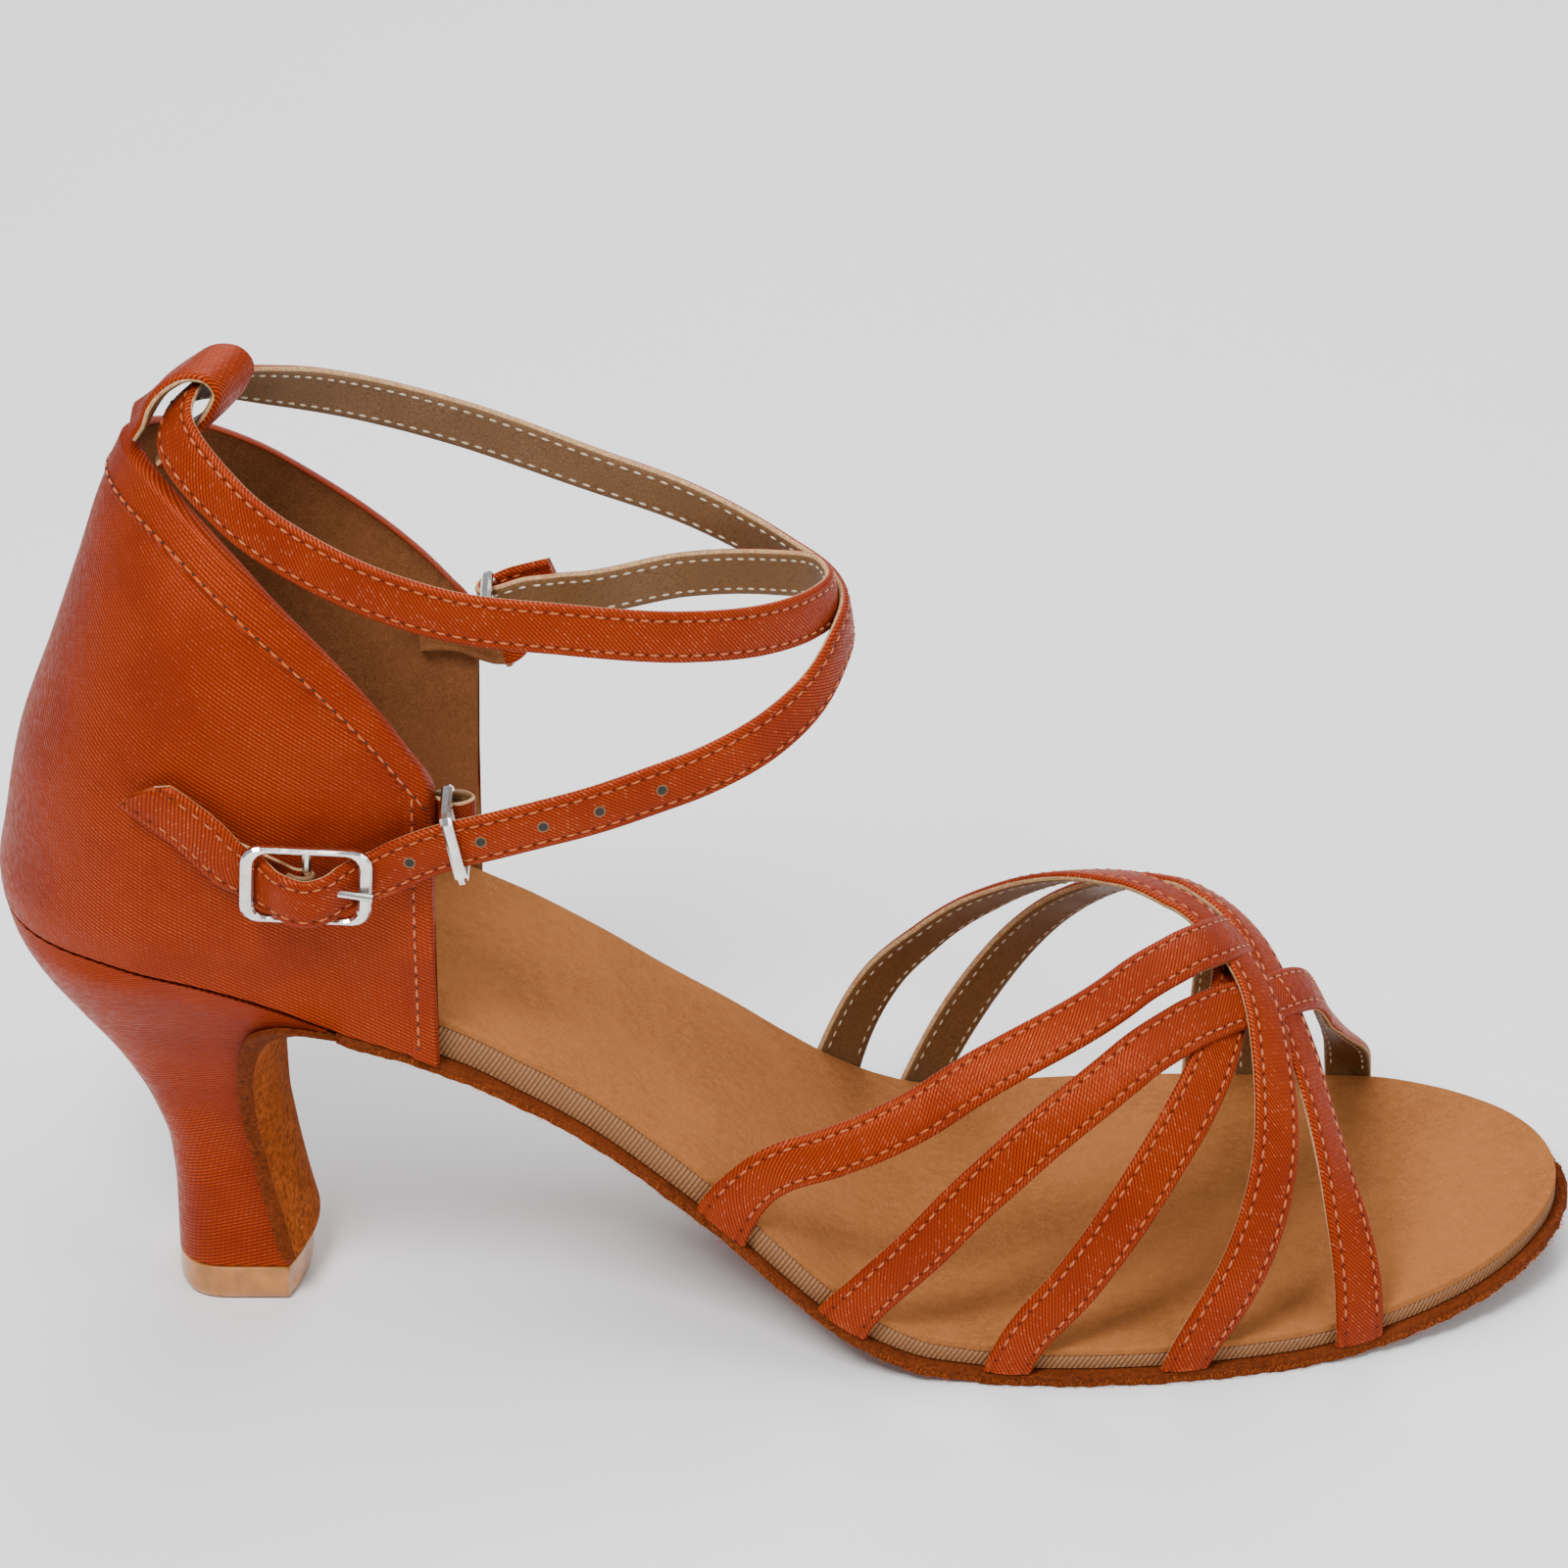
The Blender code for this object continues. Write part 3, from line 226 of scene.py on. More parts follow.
# Back of the counter: height above the seat, forward lean, half width
COUNTER_BACK = (
    # height share, lean share, half width share of the seat width
    (-0.3, 0.02, 0.48), (-0.02, 0.023, 0.491), (0.06, 0.0, 0.502), (0.154, 0.055, 0.507),
    (0.356, 0.19, 0.505), (0.557, 0.435, 0.48), (0.745, 0.655, 0.415), (0.906, 0.84, 0.325),
    (1.0, 0.99, 0.28), (1.1, 1.12, 0.24),
)

# Topline of the counter from the back to its front edge
TOPLINE = (
    # share of the way forward, height share
    (0.0, 1.0), (0.13, 0.955), (0.33, 0.862), (0.51, 0.762), (0.665, 0.67), (0.82, 0.565),
    (0.93, 0.476), (0.985, 0.425), (1.0, 0.37),
)

# Back loop: path of the band from the topline, over, and down inside, about the top of the counter
LOOP_PATH = (
    # forward of the counter's top and above it, both in shares of the loop width, twist share
    (0.175, 0.2, 0.0), (0.35, 0.38, 0.3), (0.52, 0.63, 0.7), (0.77, 0.87, 1.0), (1.06, 1.03, 1.0),
    (1.31, 0.99, 1.0), (1.43, 0.82, 1.0), (1.36, 0.59, 1.0), (1.18, 0.34, 1.0), (0.9, 0.07, 0.8),
    (0.56, -0.18, 0.4),
)

# Instep crest height above the sole along the foot
INSTEP = (
    # size, then station and share of it
    (INSTEP_HEIGHT, (
        (0.35, 0.76), (0.45, 0.81), (0.52, 0.87), (0.617, 1.01), (0.708, 1.03), (0.742, 1.0),
        (0.763, 0.95), (0.796, 0.83), (0.821, 0.73), (0.846, 0.56), (0.888, 0.34),
    )),
)

# Vamp straps: each row is a station along the foot, a share across it from lateral -1 to medial 1,
# and the layer it runs in at that row
VAMP_STRAPS = {
    "rear_outer": (
        (0.452, -1.0, 0.0), (0.486, -0.8, 0.0), (0.522, -0.67, 0.0), (0.614, -0.46, 0.0),
        (0.707, -0.27, 0.5), (0.765, -0.06, 1.5), (0.79, 0.16, -0.6), (0.8, 0.44, -2.4),
        (0.806, 0.74, -1.4), (0.807, 0.92, -0.1), (0.808, 1.0, 0.0),
    ),
    "second_outer": (
        (0.528, -1.0, 0.0), (0.552, -0.9, 0.0), (0.584, -0.79, 0.0), (0.644, -0.61, 0.0),
        (0.706, -0.45, 0.0), (0.766, -0.27, 0.0), (0.8, -0.12, 0.3), (0.824, 0.03, 1.0),
        (0.845, 0.22, -0.8), (0.859, 0.46, -2.0), (0.867, 0.74, -1.2), (0.868, 0.92, -0.1),
        (0.869, 1.0, 0.0),
    ),
    "middle": (
        (0.632, -1.0, 0.0), (0.642, -0.96, 0.0), (0.676, -0.86, -0.7), (0.724, -0.66, -1.0),
        (0.755, -0.47, -1.0), (0.772, -0.28, -1.2), (0.782, 0.0, -1.3), (0.784, 0.3, -1.2),
        (0.78, 0.62, -1.0), (0.775, 0.92, -0.1), (0.772, 1.0, 0.0),
    ),
    "fourth_outer": (
        (0.744, -1.0, 0.0), (0.781, -0.82, 0.0), (0.799, -0.57, 0.2), (0.797, -0.36, 0.8),
        (0.785, -0.15, 1.3), (0.764, -0.01, 0.5), (0.729, 0.12, 0.2), (0.681, 0.28, 0.6),
        (0.619, 0.49, 0.4), (0.556, 0.74, 0.0), (0.524, 1.0, 0.0),
    ),
    "front_outer": (
        (0.856, -1.0, 0.0), (0.853, -0.79, 0.0), (0.841, -0.53, 0.0), (0.824, -0.29, -0.1),
        (0.808, -0.1, -0.1), (0.788, 0.06, 1.0), (0.756, 0.21, 0.7), (0.712, 0.36, 0.0),
        (0.668, 0.55, 0.0), (0.618, 0.8, 0.0), (0.58, 1.0, 0.0),
    ),
}

# Ankle strap: station, share of the seat width across, share of the counter height up, outward lean in
# degrees. It starts with its short end folded round the medial ring and ends with its tip past the buckle.
ANKLE_STRAP = (
    (0.3478, 0.557, 0.457, -8.0), (0.329, 0.574, 0.434, -8.0), (0.3107, 0.589, 0.408, -8.0),
    (0.3045, 0.581, 0.401, 8.0), (0.3023, 0.557, 0.397, 18.0), (0.3045, 0.534, 0.397, 18.0),
    (0.3107, 0.525, 0.403, 8.0), (0.329, 0.52, 0.426, 8.0), (0.3498, 0.5, 0.442, 8.0),
    (0.365, 0.47, 0.458, 8.0), (0.429, 0.405, 0.528, 8.0), (0.483, 0.27, 0.588, 8.0),
    (0.516, 0.11, 0.634, 8.0), (0.521, 0.0, 0.645, 8.0), (0.508, -0.15, 0.664, 8.0),
    (0.479, -0.295, 0.689, 8.0), (0.433, -0.42, 0.725, 8.0), (0.357, -0.5, 0.775, 8.0),
    (0.289, -0.496, 0.804, 8.0), (0.216, -0.42, 0.871, 12.0), (0.158, -0.296, 0.965, 26.0),
    (0.125, -0.13, 1.07, 42.0), (0.1305, -0.02, 1.096, 44.0), (0.1435, 0.09, 1.079, 43.0),
    (0.183, 0.243, 1.018, 26.0), (0.218, 0.357, 0.956, 18.0), (0.293, 0.49, 0.835, 10.0),
    (0.368, 0.525, 0.725, 8.0), (0.431, 0.478, 0.662, 8.0), (0.494, 0.325, 0.602, 8.0),
    (0.524, 0.14, 0.595, 8.0), (0.53, -0.02, 0.594, 8.0), (0.524, -0.13, 0.574, 8.0),
    (0.511, -0.235, 0.531, 8.0), (0.483, -0.357, 0.482, 8.0), (0.448, -0.446, 0.445, 6.0),
    (0.41, -0.509, 0.418, 4.0), (0.376, -0.545, 0.391, 2.0), (0.342, -0.566, 0.367, 0.0),
    (0.308, -0.575, 0.34, 0.0), (0.289, -0.575, 0.324, 0.0), (0.265, -0.57, 0.291, 0.0),
    (0.2455, -0.561, 0.254, 0.0), (0.233, -0.564, 0.24, 0.0), (0.223, -0.587, 0.231, 0.0),
    (0.214, -0.624, 0.224, 0.0), (0.201, -0.64, 0.219, 0.0), (0.188, -0.624, 0.227, 0.0),
    (0.179, -0.587, 0.231, 0.0), (0.169, -0.564, 0.246, 0.0), (0.1565, -0.561, 0.272, 0.0),
    (0.135, -0.546, 0.341, 0.0), (0.102, -0.525, 0.422, 0.0),
)

# Folded tabs, in the strap table's units: out through a ring or round the centre bar, and back
LATERAL_TAB = (
    (0.2415, -0.451, 0.336, 0.0), (0.2665, -0.451, 0.336, 0.0), (0.2773, -0.45, 0.336, 0.0),
    (0.283, -0.466, 0.336, 0.0), (0.289, -0.491, 0.336, 0.0), (0.2969, -0.487, 0.336, 0.0),
    (0.3028, -0.457, 0.336, 0.0), (0.2978, -0.429, 0.336, 0.0), (0.289, -0.425, 0.336, 0.0),
    (0.2773, -0.431, 0.336, 0.0), (0.2665, -0.432, 0.336, 0.0), (0.2415, -0.431, 0.336, 0.0),
)
MEDIAL_TAB = (
    (0.2603, 0.446, 0.387, 0.0), (0.2853, 0.449, 0.387, 2.0), (0.2965, 0.452, 0.389, 5.0),
    (0.3028, 0.445, 0.391, 8.0), (0.3107, 0.436, 0.393, 8.0), (0.3186, 0.429, 0.399, 18.0),
    (0.324, 0.393, 0.401, 18.0), (0.3186, 0.362, 0.393, 8.0), (0.3107, 0.357, 0.386, -8.0),
    (0.2965, 0.396, 0.385, -4.0), (0.2853, 0.43, 0.387, -1.0), (0.2603, 0.433, 0.387, 0.0),
)
BUCKLE_TAB = (
    (0.129, -0.514, 0.333, 0.0), (0.154, -0.518, 0.279, 0.0), (0.1769, -0.529, 0.246, 0.0),
    (0.1898, -0.552, 0.236, 0.0), (0.1961, -0.568, 0.234, 0.0), (0.2015, -0.571, 0.234, 0.0),
    (0.205, -0.578, 0.234, 0.0), (0.2065, -0.593, 0.234, 0.0), (0.205, -0.608, 0.234, 0.0),
    (0.2015, -0.614, 0.234, 0.0), (0.1961, -0.61, 0.234, 0.0), (0.1907, -0.593, 0.234, 0.0),
)


def hermite(knots, values, slopes, at):
    """Cubic Hermite curve through values at knots with the slopes given."""
    at = np.clip(at, knots[0], knots[-1])
    span = np.clip(np.searchsorted(knots, at, side="right") - 1, 0, len(knots) - 2)
    step = knots[span + 1] - knots[span]
    t = (at - knots[span]) / step
    if values.ndim > 1:
        t, step = t[..., None], step[..., None]
    rise = t * t * (3 - 2 * t)
    lead = t * (1 - t) ** 2 * step
    trail = t * t * (t - 1) * step
    return values[span] * (1 - rise) + values[span + 1] * rise + slopes[span] * lead + slopes[span + 1] * trail


def monotone(knots, values, at):
    """A curve that never overshoots its table: harmonic mean slopes, level where the table turns."""
    knots, values = np.asarray(knots, float), np.asarray(values, float)
    chord = np.diff(values) / np.diff(knots)
    turning = chord[:-1] * chord[1:] <= 0
    total = np.where(turning, 1.0, chord[:-1] + chord[1:])
    inner = np.where(turning, 0.0, 2 * chord[:-1] * chord[1:] / total)
    slopes = np.concatenate((chord[:1], inner, chord[-1:]))
    return hermite(knots, values, slopes, np.asarray(at, float))


def flowing(knots, values, at):
    """A soft curve through the table: each slope is that of the parabola through three rows."""
    knots, values = np.asarray(knots, float), np.asarray(values, float)
    step = np.diff(knots)
    if values.ndim > 1:
        step = step[:, None]
    chord = np.diff(values, axis=0) / step
    inner = (chord[:-1] * step[1:] + chord[1:] * step[:-1]) / (step[:-1] + step[1:])
    first = 1.5 * chord[:1] - 0.5 * inner[:1]
    last = 1.5 * chord[-1:] - 0.5 * inner[-1:]
    return hermite(knots, values, np.concatenate((first, inner, last)), np.asarray(at, float))


def along_chords(points, count):
    """Evenly spread parameters along points, and the knots of the points themselves."""
    lengths = np.linalg.norm(np.diff(points, axis=0), axis=1)
    knots = np.concatenate(((0.0,), np.cumsum(lengths)))
    return knots, np.linspace(0.0, knots[-1], count)


def unit(vectors):
    return vectors / np.linalg.norm(vectors, axis=-1, keepdims=True)


def x_at(station):
    return (np.asarray(station, float) - BALL_STATION) * SHOE_LENGTH


def station_at(x):
    return np.asarray(x, float) / SHOE_LENGTH + BALL_STATION


def table_value(table, x):
    """Value at x of a table of sizes, each with its stations and shares."""
    rows = [(station, size * share) for size, part in table for station, share in part]
    return monotone([row[0] for row in rows], [row[1] for row in rows], station_at(x))


def tread_z(x):
    return table_value(TREAD, x)


def sole_top_z(x):
    return tread_z(x) + OUTSOLE_THICKNESS


def board_top_z(x):
    return sole_top_z(x) + GAP + table_value(BOARD, x)


def sock_top_z(x):
    return board_top_z(x) + GAP + SOCK_THICKNESS


def rim(side, turn, inset):
    """Point of the sole outline at an angle turn from heel (0) to toe (pi), moved in by inset."""
    column = 1 if side < 0 else 2
    stations = np.array([row[0] for _, part in OUTLINE for row in part])
    across = np.array([width * row[column] for width, part in OUTLINE for row in part])
    knots = np.arccos(1 - 2 * stations)

    def point(at):
        return np.stack((x_at((1 - np.cos(at)) / 2), flowing(knots, across, at) - AXIS_OFFSET), -1)

    here = point(turn)
    ahead = unit(point(np.clip(turn + NUDGE, 0, math.pi)) - point(np.clip(turn - NUDGE, 0, math.pi)))
    outward = np.stack((-ahead[..., 1], ahead[..., 0]), -1) * side
    return here - outward * np.asarray(inset)[..., None]


def insole_inset(turns):
    """Margin of the insole: inside the counter wall at the heel, close to the sole edge in front."""
    x = x_at((1 - np.cos(turns)) / 2)
    ahead = np.clip((x - x_at(FRONT_EDGE_STATION_MEDIAL)) / (SHOE_LENGTH * 0.03), 0, 1)
    seat = COUNTER_WALL + 2 * GAP
    return seat + (SOLE_MARGIN - seat) * ahead


def turn_at(x):
    return np.arccos(np.clip(1 - 2 * station_at(x), -1, 1))


def half_span(x, inset):
    """Lateral and medial edge of the sole outline at x."""
    turn = turn_at(x)
    return rim(-1, turn, inset)[..., 1], rim(1, turn, inset)[..., 1]


def counter_back(height):
    """X of the back, half width there, for a height above the floor."""
    share = (np.asarray(height, float) - HEEL_HEIGHT) / COUNTER_HEIGHT
    rows = [row[0] for row in COUNTER_BACK]
    lean = flowing(rows, [row[1] * COUNTER_LEAN for row in COUNTER_BACK], share)
    half = flowing(rows, [row[2] * SEAT_WIDTH for row in COUNTER_BACK], share)
    return x_at(0.0) + lean, half


def counter_point(around, height):
    """Outer face of the counter. around runs from the lateral front edge (-1) over the back (0)
    to the medial front edge (1): a quarter ellipse each side, then straight on."""
    around, height = np.broadcast_arrays(np.asarray(around, float), np.asarray(height, float))
    back, half = counter_back(height)
    front = x_at(np.where(around < 0, FRONT_EDGE_STATION_LATERAL, FRONT_EDGE_STATION_MEDIAL))
    depth = COUNTER_BACK_DEPTH
    quarter = math.pi / 2 * np.sqrt((depth ** 2 + half ** 2) / 2)
    reach = np.abs(around) * (quarter + front - back - depth)
    turn = np.clip(reach / quarter, 0, 1) * math.pi / 2
    x = back + depth * (1 - np.cos(turn)) + np.maximum(reach - quarter, 0)
    y = half * np.sin(turn) * np.sign(around) - AXIS_OFFSET
    return np.stack((x, y, height), -1)


def counter_edges(around):
    """Heights of the counter's lower edge and topline."""
    low = np.full(around.shape, HEEL_HEIGHT)
    for _ in range(8):
        low = sole_top_z(counter_point(around, low)[..., 0]) + GAP
    high = np.full(around.shape, HEEL_HEIGHT + COUNTER_HEIGHT)
    top_back = counter_back(HEEL_HEIGHT + COUNTER_HEIGHT)[0]
    front = x_at(np.where(around < 0, FRONT_EDGE_STATION_LATERAL, FRONT_EDGE_STATION_MEDIAL))
    shares = [row[0] for row in TOPLINE]
    rises = [row[1] for row in TOPLINE]
    for _ in range(40):
        forward = (counter_point(around, high)[..., 0] - top_back) / (front - top_back)
        rise = monotone(shares, rises, np.clip(forward, 0, 1))
        high = 0.5 * high + 0.5 * (HEEL_HEIGHT + COUNTER_HEIGHT * rise)
    return low, high


def outward_of(grid):
    """Unit normals of a counter grid, kept level so that edges stay at their heights."""
    along = np.gradient(grid, axis=0)
    normal = np.stack((along[..., 1], -along[..., 0], np.zeros(along.shape[:2])), -1)
    return unit(normal) * np.sign(np.sum(normal * (grid - grid.mean(axis=(0, 1))), -1, keepdims=True))


def heel_rings(rises, shares, swell):
    """Half sections of the heel from the back to the front centre, one a rise, swollen by swell.

    Shares from 0 to 1 run along the side, a rounded square corner behind and straight to the front;
    shares from 1 to 2 cross the front face, a shallow arc that stands forward by the bulge.
    """
    rows = [row[0] for row in HEEL_LEVELS] + [1.0]
    tip_back = x_at(0.0) + HEEL_TIP_SETBACK
    backs = [tip_back + row[1] * HEEL_TIP_LENGTH for row in HEEL_LEVELS] + [x_at(0.002)]
    fronts = [tip_back + row[2] * HEEL_TIP_LENGTH for row in HEEL_LEVELS] + [x_at(BREAST_STATION)]
    halves = [row[3] * HEEL_TIP_WIDTH for row in HEEL_LEVELS] + [SEAT_HALF_SHARE * SEAT_WIDTH]
    bulges = [row[4] for row in HEEL_LEVELS] + [0.04]
    columns = (backs, fronts, halves, bulges, HEEL_POWERS)
    back, front, half, bulge, power = (monotone(rows, column, rises)[:, None] for column in columns)
    behind = np.clip(1 - shares / 0.55, 0, 1)
    across = np.clip(2 - shares, 0, 1)
    width = np.where(shares < 1, (1 - behind ** power) ** (1 / power), across)
    length = np.where(shares < 1, shares * (1 - bulge), 1 - bulge * across ** 2)
    side = np.stack((back + (front - back) * length, half * width), -1)
    along = unit(np.gradient(side, axis=1))
    if shares[0] == 0:
        along[:, 0] = (0, 1)
    along[:, -1] = (0, -1)
    corner = np.where(shares == 1, FLAP_CORNER, 1.0)[None, :, None]
    side = side + corner * np.stack((-along[..., 1], along[..., 0]), -1) * swell
    z = HEEL_TIP_HEIGHT + (sole_top_z(side[..., 0]) - GAP - HEEL_TIP_HEIGHT) * rises[:, None]
    return side, z


def both_sides(side, z):
    """Lateral and medial halves of heel sections as points."""
    lateral = np.stack((side[..., 0], -side[..., 1] - AXIS_OFFSET, z), -1)
    medial = np.stack((side[..., 0], side[..., 1] - AXIS_OFFSET, z), -1)
    return lateral, medial


def instep_point(x, across):
    """Surface of the last over the forepart: half a rounded arch from edge to edge of the sole."""
    lateral, medial = half_span(x, FOOT_INSET)
    middle, half = (lateral + medial) / 2, (medial - lateral) / 2
    turn = across * math.pi / 2
    rise = table_value(INSTEP, x) * np.cos(turn) ** ARCH_FULLNESS
    return np.stack((x, middle + half * np.sin(turn), sole_top_z(x) + GAP + rise), -1)


def instep_normal(x, across):
    run = instep_point(x + NUDGE, across) - instep_point(x - NUDGE, across)
    side = instep_point(x, np.clip(across + NUDGE, -1, 1)) - instep_point(x, np.clip(across - NUDGE, -1, 1))
    return unit(np.cross(run, side))


def vamp_strap(rows, count):
    """Centre line, side direction and normal of a strap that hugs the instep."""
    table = np.array(rows)
    plan = np.stack((x_at(table[:, 0]), table[:, 1] * BALL_WIDTH / 2), -1)
    knots, at = along_chords(plan, count)
    station, across, layer = flowing(knots, table, at).T
    across = np.clip(across, -1, 1)
    x = x_at(station)
    normal = instep_normal(x, across)
    centre = instep_point(x, across) + normal * (layer * CROSSING_STEP)[:, None]
    ahead = unit(np.gradient(centre, axis=0))
    side = unit(np.cross(normal, ahead))
    half = STRAP_WIDTH / 2
    square = np.stack((centre - side * half, centre, centre + side * half), 1)
    spread = np.sign(side[:, 0])[:, None] * np.array((-half, 0.0, half))[None, :] * FOOT_SPREAD
    level = instep_point(x[:, None] + spread, across[:, None] + 0 * spread)
    level = level + normal[:, None, :] * (layer * CROSSING_STEP)[:, None, None]
    ends = np.minimum(at, at[-1] - at) / FOOT_BLEND
    blend = np.clip(1 - ends, 0, 1)[:, None, None] ** 2
    return square * (1 - blend) + level * blend


def ribbon(centre, lean, width):
    """Grid of a ribbon on edge: it faces away from the ankle, tipped back by lean."""
    ahead = unit(np.gradient(centre, axis=0))
    level = unit(np.stack((-ahead[:, 1], ahead[:, 0], 0 * ahead[:, 0]), -1))
    outward = level * np.cos(lean)[:, None] + np.array((0, 0, 1)) * np.sin(lean)[:, None]
    across = unit(np.cross(ahead, outward))
    shares = np.array((-0.5, 0.5))[None, :, None]
    return centre[:, None, :] + across[:, None, :] * shares * width


def place(station, across, height):
    """Point of a strap table row."""
    y = across * SEAT_WIDTH - AXIS_OFFSET
    return np.stack((x_at(station), y, HEEL_HEIGHT + height * COUNTER_HEIGHT), -1)


def strap_route(rows, step):
    """Centre line and lean along a strap table, in steps no longer than step and two or more a row."""
    table = np.array(rows)
    points = place(table[:, 0], table[:, 1], table[:, 2])
    knots, _ = along_chords(points, 2)
    parts = [
        np.linspace(low, high, max(2, math.ceil((high - low) / step)), endpoint=False)
        for low, high in zip(knots, knots[1:])
    ]
    at = np.concatenate(parts + [knots[-1:]])
    route = flowing(knots, np.concatenate((points, table[:, 3:]), 1), at)
    return route[:, :3], np.radians(route[:, 3])


def arc_length(points):
    """Length along a run of points, from its first."""
    return np.concatenate(((0.0,), np.cumsum(np.linalg.norm(np.diff(points, axis=0), axis=1))))


def skin(rings, uv, index):
    """Closed skin over a run of closed loops. rings is rows x around x 3, uv has one more column so that
    the seam keeps its place, index is the material of each column; each end is a fan to its middle."""
    rows, around = rings.shape[:2]
    i, j = np.meshgrid(np.arange(rows - 1), np.arange(around), indexing="ij")
    k = (j + 1) % around
    here, over = i * around, (i + 1) * around
    quads = np.stack((here + j, here + k, over + k, over + j), -1).reshape(-1, 4)
    quad_uv = np.stack((uv[i, j], uv[i, j + 1], uv[i + 1, j + 1], uv[i + 1, j]), 2).reshape(-1, 4, 2)
    edge = np.arange(around)
    after = (edge + 1) % around
    last, middle = (rows - 1) * around, rows * around
    fans = np.concatenate((
        np.stack((after, edge, 0 * edge + middle), -1),
        np.stack((last + edge, last + after, 0 * edge + middle + 1), -1),
    ))
    fan_uv = np.concatenate((
        np.stack((uv[0, edge + 1], uv[0, edge], uv[0, edge]), 1),
        np.stack((uv[-1, edge], uv[-1, edge + 1], uv[-1, edge]), 1),
    ))
    points = np.concatenate((rings.reshape(-1, 3), rings[:1].mean(1), rings[-1:].mean(1)))
    a, b, c, d = (points[quads[:, n]] for n in range(4))
    centre = points.mean(0)
    volume = np.sum((a - centre) * (np.cross(b - centre, c - centre) + np.cross(c - centre, d - centre)))
    if volume < 0:
        quads, quad_uv, fans, fan_uv = quads[:, ::-1], quad_uv[:, ::-1], fans[:, ::-1], fan_uv[:, ::-1]
    index = np.broadcast_to(index, (rows - 1, around)).reshape(-1)
    return points, quads, quad_uv, index, fans, fan_uv, np.full(len(fans), index[0])


def piece(name, skins, materials, slot, *nodes):
    """One object from several skins. It rides on the shoe and stands for nodes; the slot it is given is not
    used.
    """
    starts = np.concatenate(((0,), np.cumsum([len(part[0]) for part in skins[:-1]]))).astype(int)
    points = np.concatenate([part[0] for part in skins])
    quads = np.concatenate([part[1] + start for part, start in zip(skins, starts)])
    fans = np.concatenate([part[4] + start for part, start in zip(skins, starts)])
    uvs = np.concatenate([part[n].reshape(-1, 2) for n in (2, 5) for part in skins])
    index = np.concatenate([part[n] for n in (3, 6) for part in skins])
    mesh = bpy.data.meshes.new(name)
    mesh.from_pydata(points.tolist(), [], quads.tolist() + fans.tolist())
    mesh.uv_layers.new(name="UVMap")
    mesh.uv_layers[0].data.foreach_set("uv", uvs.astype(np.float32).ravel())
    for material in materials:
        mesh.materials.append(material)
    mesh.polygons.foreach_set("material_index", index.astype(np.int32))
    mesh.shade_smooth()
    mesh.set_sharp_from_angle(angle=math.radians(50))
    thing = bpy.data.objects.new(name, mesh)
    bpy.context.scene.collection.objects.link(thing)
    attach(thing, "root")
    if nodes:
        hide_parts(*nodes)


def follow(at, along, track):
    """Points of a track at the ways along it that are given."""
    return np.stack([np.interp(at, along, track[:, n]) for n in range(3)], -1)


def across_rails(left, middle, right, share):
    """The parabola through three rails, at a share across from -1 on the left to 1 on the right."""
    return middle * (1 - share ** 2) + left * (share ** 2 - share) / 2 + right * (share ** 2 + share) / 2


def strap_section(width, thickness, crown):
    """Section of a strap: across from -1 to 1 and back, and its rise through the thickness.

    The face is an ellipse quarter at each edge, flat between, plus a crown that falls with the square of
    the way across, less a soft dent along each row of stitches."""
    top = -np.cos(np.linspace(0, math.pi, 23))
    across = np.concatenate((top, top[::-1][1:-1]))
    upper = np.arange(len(across)) < len(top)
    start = 1 - thickness / width * 1.3
    out = np.clip((np.abs(across) - start) / (1 - start), 0, 1)
    rise = thickness / 2 * np.sqrt(1 - out ** 2)
    row = width / 2 - STITCH_MARGIN
    groove = STITCH_DENT * np.exp(-(((np.abs(across) * width / 2 - row) / SEAM_HALF_WIDTH) ** 2))
    rise = np.where(upper, rise + crown * (1 - across ** 2) - groove, -rise)
    index = np.where(upper, 0, 2)
    index[[len(top) - 1, len(top), len(top) + 1, -1, -2]] = 1
    return across, rise, index


def strap_skin(left, middle, right, normal, thickness, crown, tip=0.0, slant=0.0):
    """A strap over three rails: a parabola through the rails across, the section through the thickness.

    tip gives how far, in metres, the last end rounds off to about half the width; slant is how far one
    corner of that end runs ahead of the other, faded out over five times that length."""
    width = np.median(np.linalg.norm(right - left, axis=1))
    across, rise, index = strap_section(width, thickness, crown)
    along = arc_length(middle)
    a = np.tile(across, (len(along), 1))
    if tip:
        share = np.clip((along[-1] - along) / tip, 0, 1)
        a = a * (0.55 + 0.45 * np.sqrt(1 - (1 - share) ** 2))[:, None]
    surface = across_rails(left[:, None], middle[:, None], right[:, None], a[..., None])
    rings = surface + normal[:, None, :] * rise[None, :, None]
    if slant:
        fade = np.clip(1 - (along[-1] - along) / (5 * abs(slant)), 0, 1)
        rings = rings + unit(middle[-1] - middle[-2]) * (a * fade[:, None] * slant / 2)[..., None]
    wide = np.concatenate((a, a[:, :1]), 1) * width / 2
    uv = np.stack((along[:, None] + 0 * wide, wide), -1)
    return skin(rings, uv, index)


